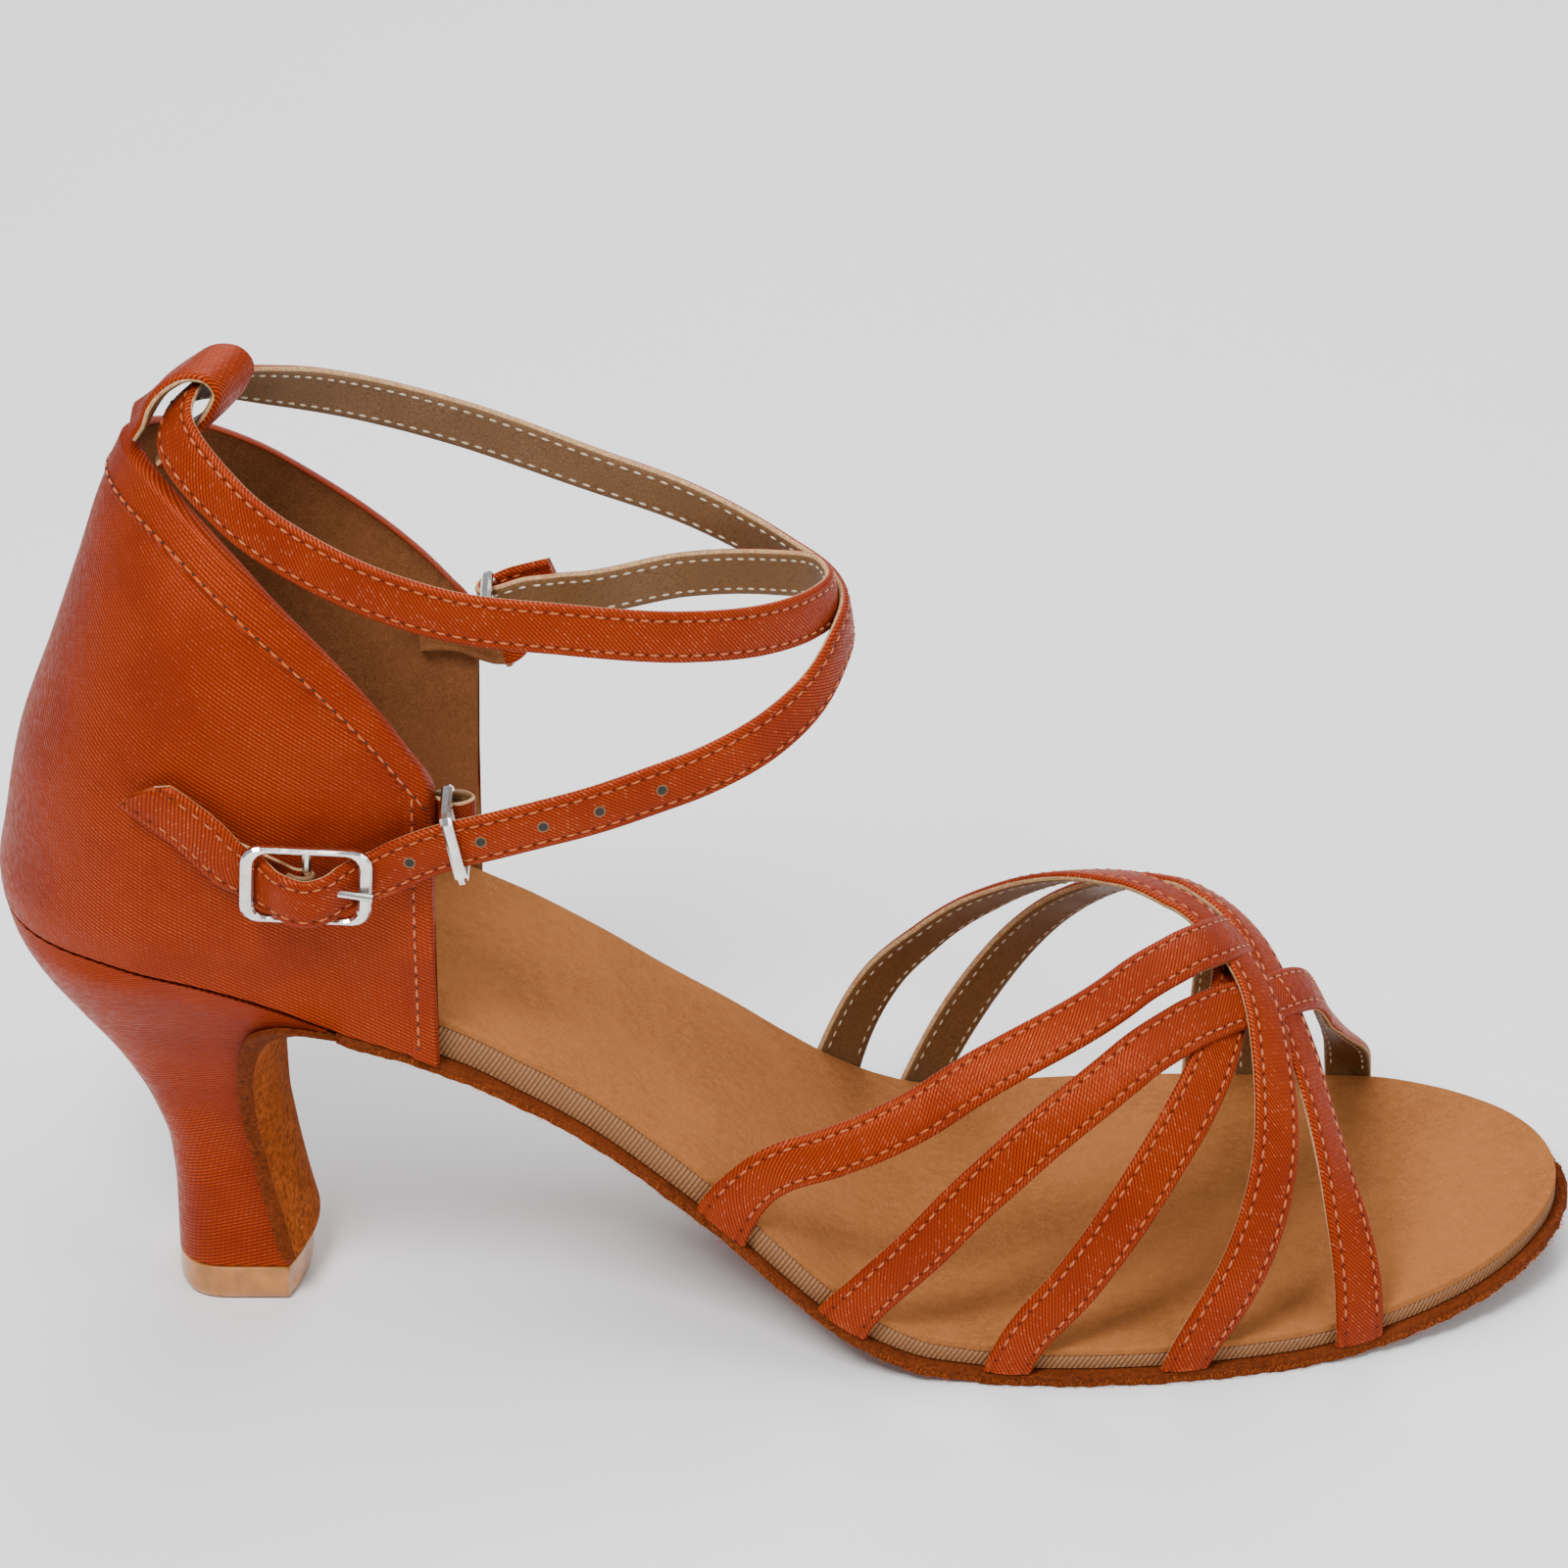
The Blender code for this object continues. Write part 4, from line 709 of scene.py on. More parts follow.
def pills(centre, ahead, normal, length, radius):
    """Short rounded stitches: rings of five points about each centre, fuller in the middle, and two poles."""
    side = np.cross(normal, ahead)
    turn = np.linspace(0, 2 * math.pi, 5, endpoint=False)
    steps = np.array((-0.42, -0.16, 0.16, 0.42)) * length
    swell = np.array((0.6, 1.0, 1.0, 0.6)) * radius
    sink = np.array((-0.45, 0.0, 0.0, -0.45)) * radius
    c, s = np.cos(turn), np.sin(turn)
    rings = (
        centre[:, None, None, :] + ahead[:, None, None, :] * steps[None, :, None, None]
        + side[:, None, None, :] * (swell[:, None] * c[None, :])[None, :, :, None]
        + normal[:, None, None, :] * (swell[:, None] * s[None, :] + sink[:, None])[None, :, :, None]
    )
    poles = centre[:, None, :] + ahead[:, None, :] * (np.array((-0.5, 0.5)) * length)[None, :, None]
    poles = poles - normal[:, None, :] * radius * 0.7
    count = len(centre)
    points = np.concatenate((rings.reshape(count, 20, 3), poles), 1)
    i, j = np.meshgrid(np.arange(3), np.arange(5), indexing="ij")
    k = (j + 1) % 5
    quads = np.stack((i * 5 + j, i * 5 + k, (i + 1) * 5 + k, (i + 1) * 5 + j), -1).reshape(-1, 4)
    edge, after = np.arange(5), (np.arange(5) + 1) % 5
    fans = np.concatenate((
        np.stack((after, edge, 0 * edge + 20), -1),
        np.stack((15 + edge, 15 + after, 0 * edge + 21), -1),
    ))
    a, b, d = points[0][quads[0, 0]], points[0][quads[0, 1]], points[0][quads[0, 3]]
    if np.dot(np.cross(b - a, d - a), a - centre[0]) < 0:
        quads, fans = quads[:, ::-1], fans[:, ::-1]
    shift = (np.arange(count) * 22)[:, None, None]
    quads = (quads[None] + shift).reshape(-1, 4)
    fans = (fans[None] + shift).reshape(-1, 3)
    along = np.tile(np.concatenate((np.repeat(steps, 5), (-0.5 * length, 0.5 * length))), count)
    flat = np.stack((along, 0 * along), -1)
    index = np.zeros(len(quads), int)
    return points.reshape(-1, 3), quads, flat[quads], index, fans, flat[fans], np.zeros(len(fans), int)


def sew(at, along, track, normal, length, radius):
    """Stitches on a track at the ways along it that are given, square to its normals."""
    ahead = unit(follow(at + length / 3, along, track) - follow(at - length / 3, along, track))
    up = follow(at, along, normal)
    up = unit(up - ahead * np.sum(up * ahead, -1, keepdims=True))
    return pills(follow(at, along, track), ahead, up, length, radius)


def stitch_row(line, normal, pitch, length, radius, start=0.0):
    """Stitches at even steps along a line, half a pitch in from each end."""
    along = arc_length(line)
    return sew(np.arange(start + pitch / 2, along[-1] - pitch / 2, pitch), along, line, normal, length, radius)


def strap_stitches(left, middle, right, normal, sizes):
    """Two rows of stitches on the face of a strap and two on its lining.

    The rows step along the strap's own middle, so that they fall between the needle pits of its cloth."""
    width = np.median(np.linalg.norm(right - left, axis=1))
    along = arc_length(middle)
    pitch = sizes.stitch_pitch
    at = np.arange(pitch * 2.5, along[-1] - pitch * 2, pitch)
    found = {1: [], -1: []}
    for side in (-1, 1):
        a = (1 - 2 * STITCH_MARGIN / width) * side
        line = across_rails(left, middle, right, a)
        for face, rows in found.items():
            level = STRAP_THICKNESS / 2 + (STRAP_CROWN * (1 - a * a) - 0.00008 if face > 0 else 0)
            track = line + normal * level * face
            rows.append(sew(at, along, track, normal * face, sizes.stitch_length, sizes.stitch_radius))
    return found[1], found[-1]


def cross_stitches(left, middle, right, normal, sizes):
    """Short rows of stitches across a strap where it is sewn down, at the ways along that are given."""
    along = arc_length(middle)
    rows = []
    for way in SEWN_ACROSS:
        way = way * along[-1]
        rails = (follow(way, along, rail) for rail in (left, middle, right))
        up = follow(way, along, normal)
        line = across_rails(*rails, np.linspace(-0.62, 0.62, 9)[:, None])
        line = line + up * (STRAP_THICKNESS / 2 + STRAP_CROWN * 0.9)
        ups = np.tile(up, (len(line), 1))
        rows.append(stitch_row(line, ups, SEWN_PITCH, sizes.stitch_length * 0.85, sizes.stitch_radius))
    return rows


def vamp_rails(rows, count=150):
    """Rails and outward normal of a vamp strap."""
    grid = vamp_strap(rows, count)
    ahead = unit(np.gradient(grid[:, 1], axis=0))
    normal = unit(np.cross(ahead, grid[:, 2] - grid[:, 0]))
    middle = grid[:, 1]
    away = middle - np.array((0.0, 0.002, 0.0))
    facing = normal * np.array((0.1, 0, 1.0)) + normal[:, 1:2] * away[:, 1:2] * 20
    normal = unit(normal * np.sign(np.sum(facing, -1, keepdims=True)))
    return grid[:, 0], middle, grid[:, 2], normal


def band_rails(rows, width, step):
    """Rails and outward normal of a band along a strap table."""
    centre, lean = strap_route(rows, step)
    grid = ribbon(centre, lean, width)
    ahead = unit(np.gradient(centre, axis=0))
    normal = unit(np.cross(grid[:, 1] - grid[:, 0], ahead))
    return grid[:, 0], centre, grid[:, 1], normal


def sole_layer(turns, inset, bottom, top, rounding, edge_index):
    """A layer of the sole: each loop runs along the floor side, up one edge with a rounded shoulder,
    across the top and down the other edge."""
    steps = (0.0, 0.0, 0.0, 0.04, 0.3, 1.0)
    rises = np.array((0.0, 0.35, 0.7, 0.86, 0.97, 1.0))
    across = np.linspace(0, 1, 14)[1:-1]
    left = [rim(-1, turns, inset + step * rounding) for step in steps]
    right = [rim(1, turns, inset + step * rounding) for step in steps]
    low = [left[0] * (1 - share) + right[0] * share for share in across[::-1]]
    high = [left[-1] * (1 - share) + right[-1] * share for share in across]
    plan = np.stack(left + high + right[::-1] + low, 1)
    rise = np.concatenate((rises, np.ones(len(across)), rises[::-1], np.zeros(len(across))))
    x = plan[..., 0]
    z = bottom(x) + (top(x) - bottom(x)) * rise[None, :]
    rings = np.concatenate((plan, z[..., None]), -1)
    index = np.zeros(len(rise), int)
    index[:5] = edge_index
    index[len(left) + len(high):len(left) + len(high) + 5] = edge_index
    closed = np.concatenate((rings, rings[:, :1]), 1)
    sides = arc_length(rim(-1, turns, 0.0))[:, None] + 0 * closed[..., 0]
    flat = closed[..., :2].copy()
    edge = np.zeros(closed.shape[1], bool)
    edge[:6] = True
    edge[len(left) + len(high):len(left) + len(high) + 6] = True
    uv = np.where(edge[None, :, None], np.stack((sides, closed[..., 2]), -1), flat)
    return skin(rings, uv, index)


def ragged_edge(turns):
    """How far a hand-cut suede edge wanders in: a few waves of unlike lengths, faded out at the toe."""
    wander = 0.5 + 0.2 * np.sin(turns * 61) + 0.17 * np.sin(turns * 137 + 1) + 0.13 * np.sin(turns * 311 + 2)
    return RAGGED_DEPTH * wander * np.clip((math.pi - turns) / 0.1, 0, 1)


def heel_skin(rises, shares, swell, heights=None):
    """Skin of the heel: down one side, round the front and back up the other, a loop a rise."""
    side, z = heel_rings(rises, shares, 0.0)
    if heights is not None:
        z = heights[:, None] + 0 * z
    inward = unit(np.gradient(side, axis=1))
    side = side + np.stack((-inward[..., 1], inward[..., 0]), -1) * np.asarray(swell)[..., None, None]
    side[..., 1] = np.maximum(side[..., 1], 0)
    lateral, medial = both_sides(side, z)
    rings = np.concatenate((lateral, medial[:, -2:0:-1]), 1)
    closed = np.concatenate((rings, rings[:, :1]), 1)
    chords = np.linalg.norm(np.diff(closed, axis=1), axis=2)
    around = np.concatenate((np.zeros((len(rings), 1)), np.cumsum(chords, 1)), 1)
    around = around - around[:, closed.shape[1] // 2][:, None]
    return skin(rings, np.stack((around, closed[..., 2]), -1), np.zeros(rings.shape[1], int))


def flap_skin():
    """The suede tongue down the front of the heel: an outer and an inner face, rounded at its edges."""
    shares = np.concatenate((np.linspace(FLAP_START, 1.0, 5), np.linspace(1.06, 2.0, 22)))
    rises = np.linspace(FLAP_FOOT, 1.0, 60)
    faces = []
    for swell in (GAP + FLAP_THICKNESS, GAP):
        side, z = heel_rings(rises, shares, swell)
        lateral, medial = both_sides(side, z - GAP)
        faces.append(np.concatenate((lateral, medial[:, -2::-1]), 1))
    rings = np.concatenate((faces[0], faces[1][:, ::-1]), 1)
    closed = np.concatenate((rings, rings[:, :1]), 1)
    uv = np.stack((closed[..., 1], closed[..., 2]), -1)
    index = np.zeros(rings.shape[1], int)
    index[4:faces[0].shape[1] - 5] = 1
    return skin(rings, uv, index)


def counter_runs():
    """Ways round the counter, close together at its two front edges, and its wall left at each."""
    run = np.linspace(-1, 1, 421)
    close = 1 - 0.012 * (1 - np.cos(np.linspace(0, math.pi / 2, 9)[:-1]))
    around = np.concatenate((-close, run[2:-2], close[::-1]))
    depth = np.clip((np.abs(around) - 0.988) / 0.012, 0, 1)
    return around, np.sqrt(np.clip(1 - depth ** 2, 0.0, 1))


def counter_skin():
    """The counter: each loop climbs its outer face, turns over the bound topline and comes down the lining.

    The binding stands proud by a smooth step along the topline and along the two front edges."""
    around, wall = counter_runs()
    low, high = counter_edges(around)
    up = np.linspace(0, 1, 34)
    drops = np.array((6.2, 5.9, 5.7, 5.5, 5.3, 5.1, 4.9, 4.7, 4.5, 4.3, 4.1, 3.8, 3.4, 2.6, 1.7, 0.8, 0.0))
    drops = drops / 5.5 * BINDING_WIDTH
    reach = counter_length()
    edge = np.clip((FRONT_BINDING - (1 - np.abs(around)) * reach) / BINDING_STEP, 0, 1)
    below = high - drops[0] * 1.06
    body = low[:, None] + (below - low)[:, None] * up[None, :]
    outer_height = np.concatenate((body, high[:, None] - drops[None, :]), 1)
    drop = high[:, None] - outer_height
    bound = np.maximum(np.clip((BINDING_WIDTH - drop) / BINDING_STEP, 0, 1), edge[:, None])
    proud = BINDING_PROUD * bound * bound * (3 - 2 * bound)
    seam = np.exp(-(((drop - BINDING_WIDTH + TOPLINE_STITCH) / SEAM_HALF_WIDTH) ** 2)) * STITCH_DENT
    outer_offset = COUNTER_WALL / 2 + proud - seam
    turn = np.linspace(0, math.pi, 9)[1:-1]
    inner_height = low[:, None] + (high - low)[:, None] * np.linspace(1, 0, 24)[None, :]
    crest = high[:, None] + 0 * turn[None, :]
    heights = np.concatenate((outer_height, crest, inner_height), 1)
    offset = np.concatenate((
        outer_offset,
        (COUNTER_WALL / 2 + BINDING_PROUD) * np.cos(turn)[None, :] + 0 * crest,
        -COUNTER_WALL / 2 + 0 * inner_height,
    ), 1) * wall[:, None]
    lift = BINDING_LIFT * np.sin(turn)[None, :] * wall[:, None]
    lift = np.concatenate((0 * outer_height, lift, 0 * inner_height), 1)
    grid = counter_point(around[:, None], heights)
    outward = outward_of(grid)
    rings = grid + outward * (offset - COUNTER_WALL / 2)[..., None]
    rings[..., 2] += lift
    over = high[:, None] + COUNTER_WALL / 2 * turn[None, :]
    down = high[:, None] + COUNTER_WALL / 2 * math.pi + (high[:, None] - inner_height)
    climb = np.concatenate((outer_height, over, down, down[:, -1:]), 1)
    uv = np.stack((around[:, None] * reach + 0 * climb, climb), -1)
    index = np.zeros(rings.shape[1], int)
    index[outer_height.shape[1] + len(turn):] = 1
    return skin(rings, uv, index)


def counter_length():
    """Length of half the counter at its mid height."""
    line = counter_point(np.linspace(0, 1, 60), np.full(60, HEEL_HEIGHT + COUNTER_HEIGHT * 0.3))
    return arc_length(line)[-1]


def counter_lines():
    """Stitch lines of the binding: along the topline and down each front edge, with their normals."""
    around = np.linspace(-0.985, 0.985, 260)
    high = counter_edges(around)[1]
    point = counter_point(around, high - BINDING_WIDTH + TOPLINE_STITCH)
    lines = [(point, level_normals(point))]
    for side in (-1, 1):
        at = side * (1 - (FRONT_BINDING - FRONT_STITCH) / counter_length())
        edge_low, edge_high = counter_edges(np.array((at,)))
        height = np.linspace(edge_low[0] + 0.002, edge_high[0] - BINDING_WIDTH + TOPLINE_STITCH, 40)
        point = counter_point(np.full(40, at), height)
        near = counter_point(np.full(40, at - side * 0.02), height)
        ahead = unit(point - near) * side
        normal = unit(np.stack((ahead[:, 1], -ahead[:, 0], 0 * ahead[:, 0]), -1))
        normal = normal * np.sign(normal[:, 1:2]) * side
        lines.append((point, normal))
    return lines


def level_normals(points):
    """Level normals of a line round the counter, pointing away from its middle."""
    ahead = np.gradient(points, axis=0)
    normal = unit(np.stack((ahead[:, 1], -ahead[:, 0], 0 * ahead[:, 0]), -1))
    middle = points.mean(0)
    return normal * np.sign(np.sum(normal * (points - middle), -1, keepdims=True))


def loop_rails():
    """Rails and normal of the band over the top of the counter."""
    top = HEEL_HEIGHT + COUNTER_HEIGHT
    start = counter_point(0.0, top)
    table = np.array(LOOP_PATH)
    knots, at = along_chords(table[:, :2] * LOOP_WIDTH, 90)
    forward, up, twist = flowing(knots, table, at).T
    turn = np.radians(LOOP_TWIST_DEG) * twist
    axis = np.stack((np.sin(turn), np.cos(turn), 0 * turn), -1)
    middle = np.stack((start[0] + forward * LOOP_WIDTH, start[1] + 0 * forward, top + up * LOOP_WIDTH), -1)
    ahead = unit(np.gradient(middle, axis=0))
    normal = unit(np.cross(ahead, axis))
    hub = middle.mean(0)
    if np.sum(normal * (middle - hub)) < 0:
        normal = -normal
    half = axis * LOOP_WIDTH / 2
    return middle - half, middle, middle + half, normal


def fibres(count, length):
    """Loose suede fibres round the sole's edge: thin three-sided spikes that point out and down."""
    chance = np.random.default_rng(FIBRE_SEED)
    turns = np.arccos(1 - 2 * chance.uniform(0.235, 1.0, count))
    side = np.where(chance.random(count) < 0.5, -1, 1)
    left, right = rim(-1, turns, FIBRE_RADIUS), rim(1, turns, FIBRE_RADIUS)
    plan = np.where(side[:, None] < 0, left, right)
    ahead = np.where(side[:, None] < 0, rim(-1, turns + 0.002, 0) - left, rim(1, turns + 0.002, 0) - right)
    ahead = unit(ahead)
    outward = np.stack((-ahead[:, 1], ahead[:, 0]), -1) * side[:, None]
    z = tread_z(plan[:, 0]) + OUTSOLE_THICKNESS * chance.uniform(0.05, 0.75, count)
    root = np.concatenate((plan, z[:, None]), -1)
    sway = chance.normal(0, 0.5, (count, 1))
    drop = chance.uniform(-0.8, 0.4, (count, 1))
    way = unit(np.concatenate((outward + ahead * sway, drop), -1))
    reach = length * chance.uniform(0.3, 1.0, (count, 1))
    tip = root + way * reach
    tip[:, 2] = np.maximum(tip[:, 2], 0.00002)
    first = unit(np.cross(way, np.array((0.2, 0.1, 1.0))))
    second = np.cross(way, first)
    corner = [root + FIBRE_RADIUS * (first * math.cos(t) + second * math.sin(t)) for t in (0.0, 2.1, 4.2)]
    points = np.stack(corner + [tip], 1)
    base = (np.arange(count) * 4)[:, None, None]
    fans = np.array(((0, 1, 3), (1, 2, 3), (2, 0, 3), (2, 1, 0)))[None] + base
    fans = fans.reshape(-1, 3)
    none = np.zeros((0, 4), int)
    flat = np.zeros((len(fans), 3, 2))
    return points.reshape(-1, 3), none, none[..., None], none[:, 0], fans, flat, np.zeros(len(fans), int)


def strap_holes(left, middle, right, normal):
    """Punched holes of the ankle strap: a cup with a pressed rim at each, its dark middle painted shade, set
    by its way along.
    """
    along = arc_length(middle)
    turn = np.linspace(0, 2 * math.pi, 20, endpoint=False)
    face = STRAP_THICKNESS / 2 + STRAP_CROWN
    cups = []
    for back in HOLES_FROM_TIP:
        at = along[-1] - back
        centre = follow(at, along, middle)
        out = unit(follow(at, along, normal))
        side = unit(follow(at, along, right - left))
        circle = side * np.cos(turn)[:, None] + np.cross(side, out) * np.sin(turn)[:, None]
        rings = [centre + circle * HOLE_RADIUS * wide + out * (face + rise) for wide, rise in HOLE_PROFILE]
        uv = np.zeros((len(rings), len(turn) + 1, 2))
        cup = list(skin(np.stack(rings), uv, np.zeros(len(turn), int)))
        # The inner bands and the middle take the dark finish: painted shade in the hole.
        cup[3] = np.repeat((0, 0, 0, 1, 1), len(turn))
        cup[6] = np.repeat((0, 1), len(turn))
        cups.append(cup)
    return cups


def new_node(tree, kind, **settings):
    made = tree.nodes.new(kind)
    for name, value in settings.items():
        setattr(made, name, value)
    return made


def feed(tree, value, socket):
    """Joins an output to a socket, or sets the socket's own value."""
    if isinstance(value, bpy.types.NodeSocket):
        tree.links.new(value, socket)
    else:
        socket.default_value = value


def calc(tree, operation, *values):
    made = new_node(tree, "ShaderNodeMath", operation=operation)
    for n, value in enumerate(values):
        feed(tree, value, made.inputs[n])
    return made.outputs[0]


def ramp(tree, value, low, high, to_low=0.0, to_high=1.0):
    made = new_node(tree, "ShaderNodeMapRange", interpolation_type="SMOOTHSTEP")
    for n, item in enumerate((value, low, high, to_low, to_high)):
        feed(tree, item, made.inputs[n])
    return made.outputs[0]


def mix(tree, share, first, second):
    made = new_node(tree, "ShaderNodeMix", data_type="RGBA")
    feed(tree, share, made.inputs[0])
    feed(tree, first, made.inputs[6])
    feed(tree, second, made.inputs[7])
    return made.outputs[2]


def noise(tree, vector, scale, detail=3.0, rough=0.55):
    made = new_node(tree, "ShaderNodeTexNoise")
    feed(tree, vector, made.inputs["Vector"])
    feed(tree, scale, made.inputs["Scale"])
    made.inputs["Detail"].default_value = detail
    made.inputs["Roughness"].default_value = rough
    return made.outputs["Fac"]


def separate(tree, vector):
    """The first two parts of a vector."""
    parts = new_node(tree, "ShaderNodeSeparateXYZ")
    feed(tree, vector, parts.inputs[0])
    return parts.outputs[0], parts.outputs[1]


def node_group(name, values, outputs):
    """An empty group: a vector and the named values go in, masks and values come out."""
    tree = bpy.data.node_groups.new(name, "ShaderNodeTree")
    tree.interface.new_socket("Vector", in_out="INPUT", socket_type="NodeSocketVector")
    for label, value in values.items():
        socket = tree.interface.new_socket(label, in_out="INPUT", socket_type="NodeSocketFloat")
        socket.default_value = value
    for label in outputs:
        tree.interface.new_socket(label, in_out="OUTPUT", socket_type="NodeSocketFloat")
    return tree, tree.nodes.new("NodeGroupInput").outputs, tree.nodes.new("NodeGroupOutput").inputs


def build_weave():
    """Twill of satin: diagonal ribs a pitch apart, cut along by floats, with a mask of bright painted glints
    on some floats.
    """
    values = {"Pitch": 0.0005, "Angle": 0.5}
    tree, given, made = node_group("satin_weave", values, ("Height", "PaintedGlint", "Float"))
    u, v = separate(tree, given["Vector"])
    cosine, sine = calc(tree, "COSINE", given["Angle"]), calc(tree, "SINE", given["Angle"])
    rib = calc(tree, "SUBTRACT", calc(tree, "MULTIPLY", u, sine), calc(tree, "MULTIPLY", v, cosine))
    run = calc(tree, "ADD", calc(tree, "MULTIPLY", u, cosine), calc(tree, "MULTIPLY", v, sine))
    rib, run = (calc(tree, "DIVIDE", way, given["Pitch"]) for way in (rib, run))
    row = calc(tree, "FLOOR", rib)
    shift = calc(tree, "ADD", calc(tree, "MULTIPLY", run, 0.62), calc(tree, "MULTIPLY", row, 0.37))
    waves = (calc(tree, "SINE", calc(tree, "MULTIPLY", way, math.pi)) for way in (rib, shift))
    ribbed, floats = (calc(tree, "ABSOLUTE", wave) for wave in waves)
    height = calc(tree, "MULTIPLY", ribbed, calc(tree, "ADD", 0.6, calc(tree, "MULTIPLY", floats, 0.4)))
    cell = new_node(tree, "ShaderNodeCombineXYZ")
    feed(tree, row, cell.inputs[0])
    feed(tree, calc(tree, "FLOOR", shift), cell.inputs[1])
    white = new_node(tree, "ShaderNodeTexWhiteNoise", noise_dimensions="3D")
    feed(tree, cell.outputs[0], white.inputs["Vector"])
    chance = white.outputs["Value"]
    feed(tree, height, made["Height"])
    feed(tree, chance, made["Float"])
    # Painted glints: spots of light on the crowns of some floats, picked by chance.
    painted_glint = calc(tree, "MULTIPLY", ramp(tree, chance, 0.8, 0.95), ramp(tree, height, 0.55, 0.9))
    feed(tree, painted_glint, made["PaintedGlint"])


def build_nap():
    """Napped leather: fine grains pulled one way, and slow rubbed patches."""
    tree, given, made = node_group("suede_nap", {"Scale": 2500.0}, ("Height", "Tone", "Patch"))
    layers = (("Height", 1.0, 4.0, 0.7), ("Tone", 0.25, 3.0, 0.55), ("Patch", 0.02, 2.0, 0.55))
    for label, share, detail, rough in layers:
        scale = calc(tree, "MULTIPLY", given["Scale"], share)
        feed(tree, noise(tree, given["Vector"], scale, detail, rough), made[label])


def build_pits():
    """Needle pits: masks for dots of painted shade a pitch apart along two rows at equal distances from the
    middle, and for a band of painted shade along each row's groove.
    """
    tree, given, made = node_group("needle_pits", {"Pitch": 0.0022, "Row": 0.0026}, ("Pit", "Track"))
    u, v = separate(tree, given["Vector"])
    way = calc(tree, "FRACT", calc(tree, "ADD", calc(tree, "DIVIDE", u, given["Pitch"]), 0.5))
    off = calc(tree, "MULTIPLY", calc(tree, "SUBTRACT", way, 0.5), given["Pitch"])
    across = calc(tree, "SUBTRACT", calc(tree, "ABSOLUTE", v), given["Row"])
    squares = calc(tree, "ADD", calc(tree, "MULTIPLY", off, off), calc(tree, "MULTIPLY", across, across))
    feed(tree, ramp(tree, calc(tree, "SQRT", squares), 0.00012, 0.00034, 1.0, 0.0), made["Pit"])
    feed(tree, ramp(tree, calc(tree, "ABSOLUTE", across), 0.0002, 0.0006, 1.0, 0.0), made["Track"])


def build_wear():
    """Edge wear: rubbed spots where the surface stands proud of its neighbours, broken up by noise."""
    tree, given, made = node_group("edge_wear", {"Amount": 0.5}, ("Mask",))
    proud = ramp(tree, new_node(tree, "ShaderNodeNewGeometry").outputs["Pointiness"], 0.52, 0.6)
    broken = ramp(tree, noise(tree, given["Vector"], 900.0, 4.0, 0.7), 0.42, 0.66)
    feed(tree, calc(tree, "MULTIPLY", calc(tree, "MULTIPLY", proud, broken), given["Amount"]), made["Mask"])


def use(tree, name, **values):
    """A group placed in a material with its own values."""
    made = new_node(tree, "ShaderNodeGroup")
    made.node_tree = bpy.data.node_groups[name]
    for label, value in values.items():
        feed(tree, value, made.inputs[label])
    return made.outputs


def material(name):
    """A fresh material: its tree, its shader and its texture coordinates."""
    made = bpy.data.materials.new(name)
    made.use_nodes = True
    tree = made.node_tree
    return made, tree, tree.nodes["Principled BSDF"], tree.nodes.new("ShaderNodeTexCoord").outputs


def tone(colour, factor):
    return tuple(min(1.0, part * factor) for part in colour[:3]) + (1.0,)


def dress(tree, shader, base, rough, height, strength, distance, **settings):
    """Joins colour, roughness and bump to a shader and sets its other sockets."""
    feed(tree, base, shader.inputs["Base Color"])
    feed(tree, rough, shader.inputs["Roughness"])
    for label, value in settings.items():
        shader.inputs[label.replace("_", " ")].default_value = value
    bump = new_node(tree, "ShaderNodeBump")
    bump.inputs["Strength"].default_value = strength
    bump.inputs["Distance"].default_value = distance
    feed(tree, height, bump.inputs["Height"])
    feed(tree, bump.outputs[0], shader.inputs["Normal"])


def satin(name, colour, pitch, angle, painted_glints, row=None, stitch_pitch=None):
    """Satin: a warm cloth with a rosy shader sheen, painted rosy shade in slow streaks, painted shade between
    ribs, painted highlight on rib crowns, painted glints on floats.

    Where row is given, two rows of needle pits run that far from the middle of the cloth."""
    made, tree, shader, coords = material(name)
    weave = use(tree, "satin_weave", Vector=coords["UV"], Pitch=pitch, Angle=math.radians(angle))
    slow = noise(tree, coords["Object"], 60.0)
    lift = weave["Height"]
    # Slow streaks mixed toward a darker rosy tone: painted shade for the satin's light and dark streaks.
    rosy_painted_shade = tone((colour[0], colour[1] * 0.7, colour[2] * 1.3), 0.55)
    # Painted shade darkens the rib valleys and painted highlight lightens their crowns.
    base = mix(tree, ramp(tree, lift, 0.1, 0.8), tone(colour, 0.3), tone(colour, 1.2))
    base = mix(tree, ramp(tree, slow, 0.4, 0.65, 0.0, 0.5), base, rosy_painted_shade)
    # Painted glints of light on some floats of the weave.
    base = mix(tree, calc(tree, "MULTIPLY", weave["PaintedGlint"], painted_glints), base, PAINTED_GLINT_COLOUR)
    if row is not None:
        pits = use(tree, "needle_pits", Vector=coords["UV"], Pitch=stitch_pitch, Row=row)
        # Painted shade along the groove of each stitch row.
        base = mix(tree, calc(tree, "MULTIPLY", pits["Track"], 0.3), base, tone(colour, 0.45))
        # Painted shade in the needle pits.
        base = mix(tree, calc(tree, "MULTIPLY", pits["Pit"], 0.85), base, PIT_SHADE_COLOUR)
        lift = calc(tree, "SUBTRACT", lift, calc(tree, "MULTIPLY", pits["Pit"], 2.5))
        wear = use(tree, "edge_wear", Vector=coords["Object"], Amount=0.35)
        base = mix(tree, wear["Mask"], base, WORN_COLOUR)
    rough = ramp(tree, weave["Float"], 0.0, 1.0, 0.36, 0.54)
    dress(
        tree, shader, base, rough, lift, 0.55, 0.00012,
        Metallic=0.22, Specular_IOR_Level=0.3, Specular_Tint=(1.0, 0.42, 0.26, 1), Anisotropic=0.4,
    )
    return made


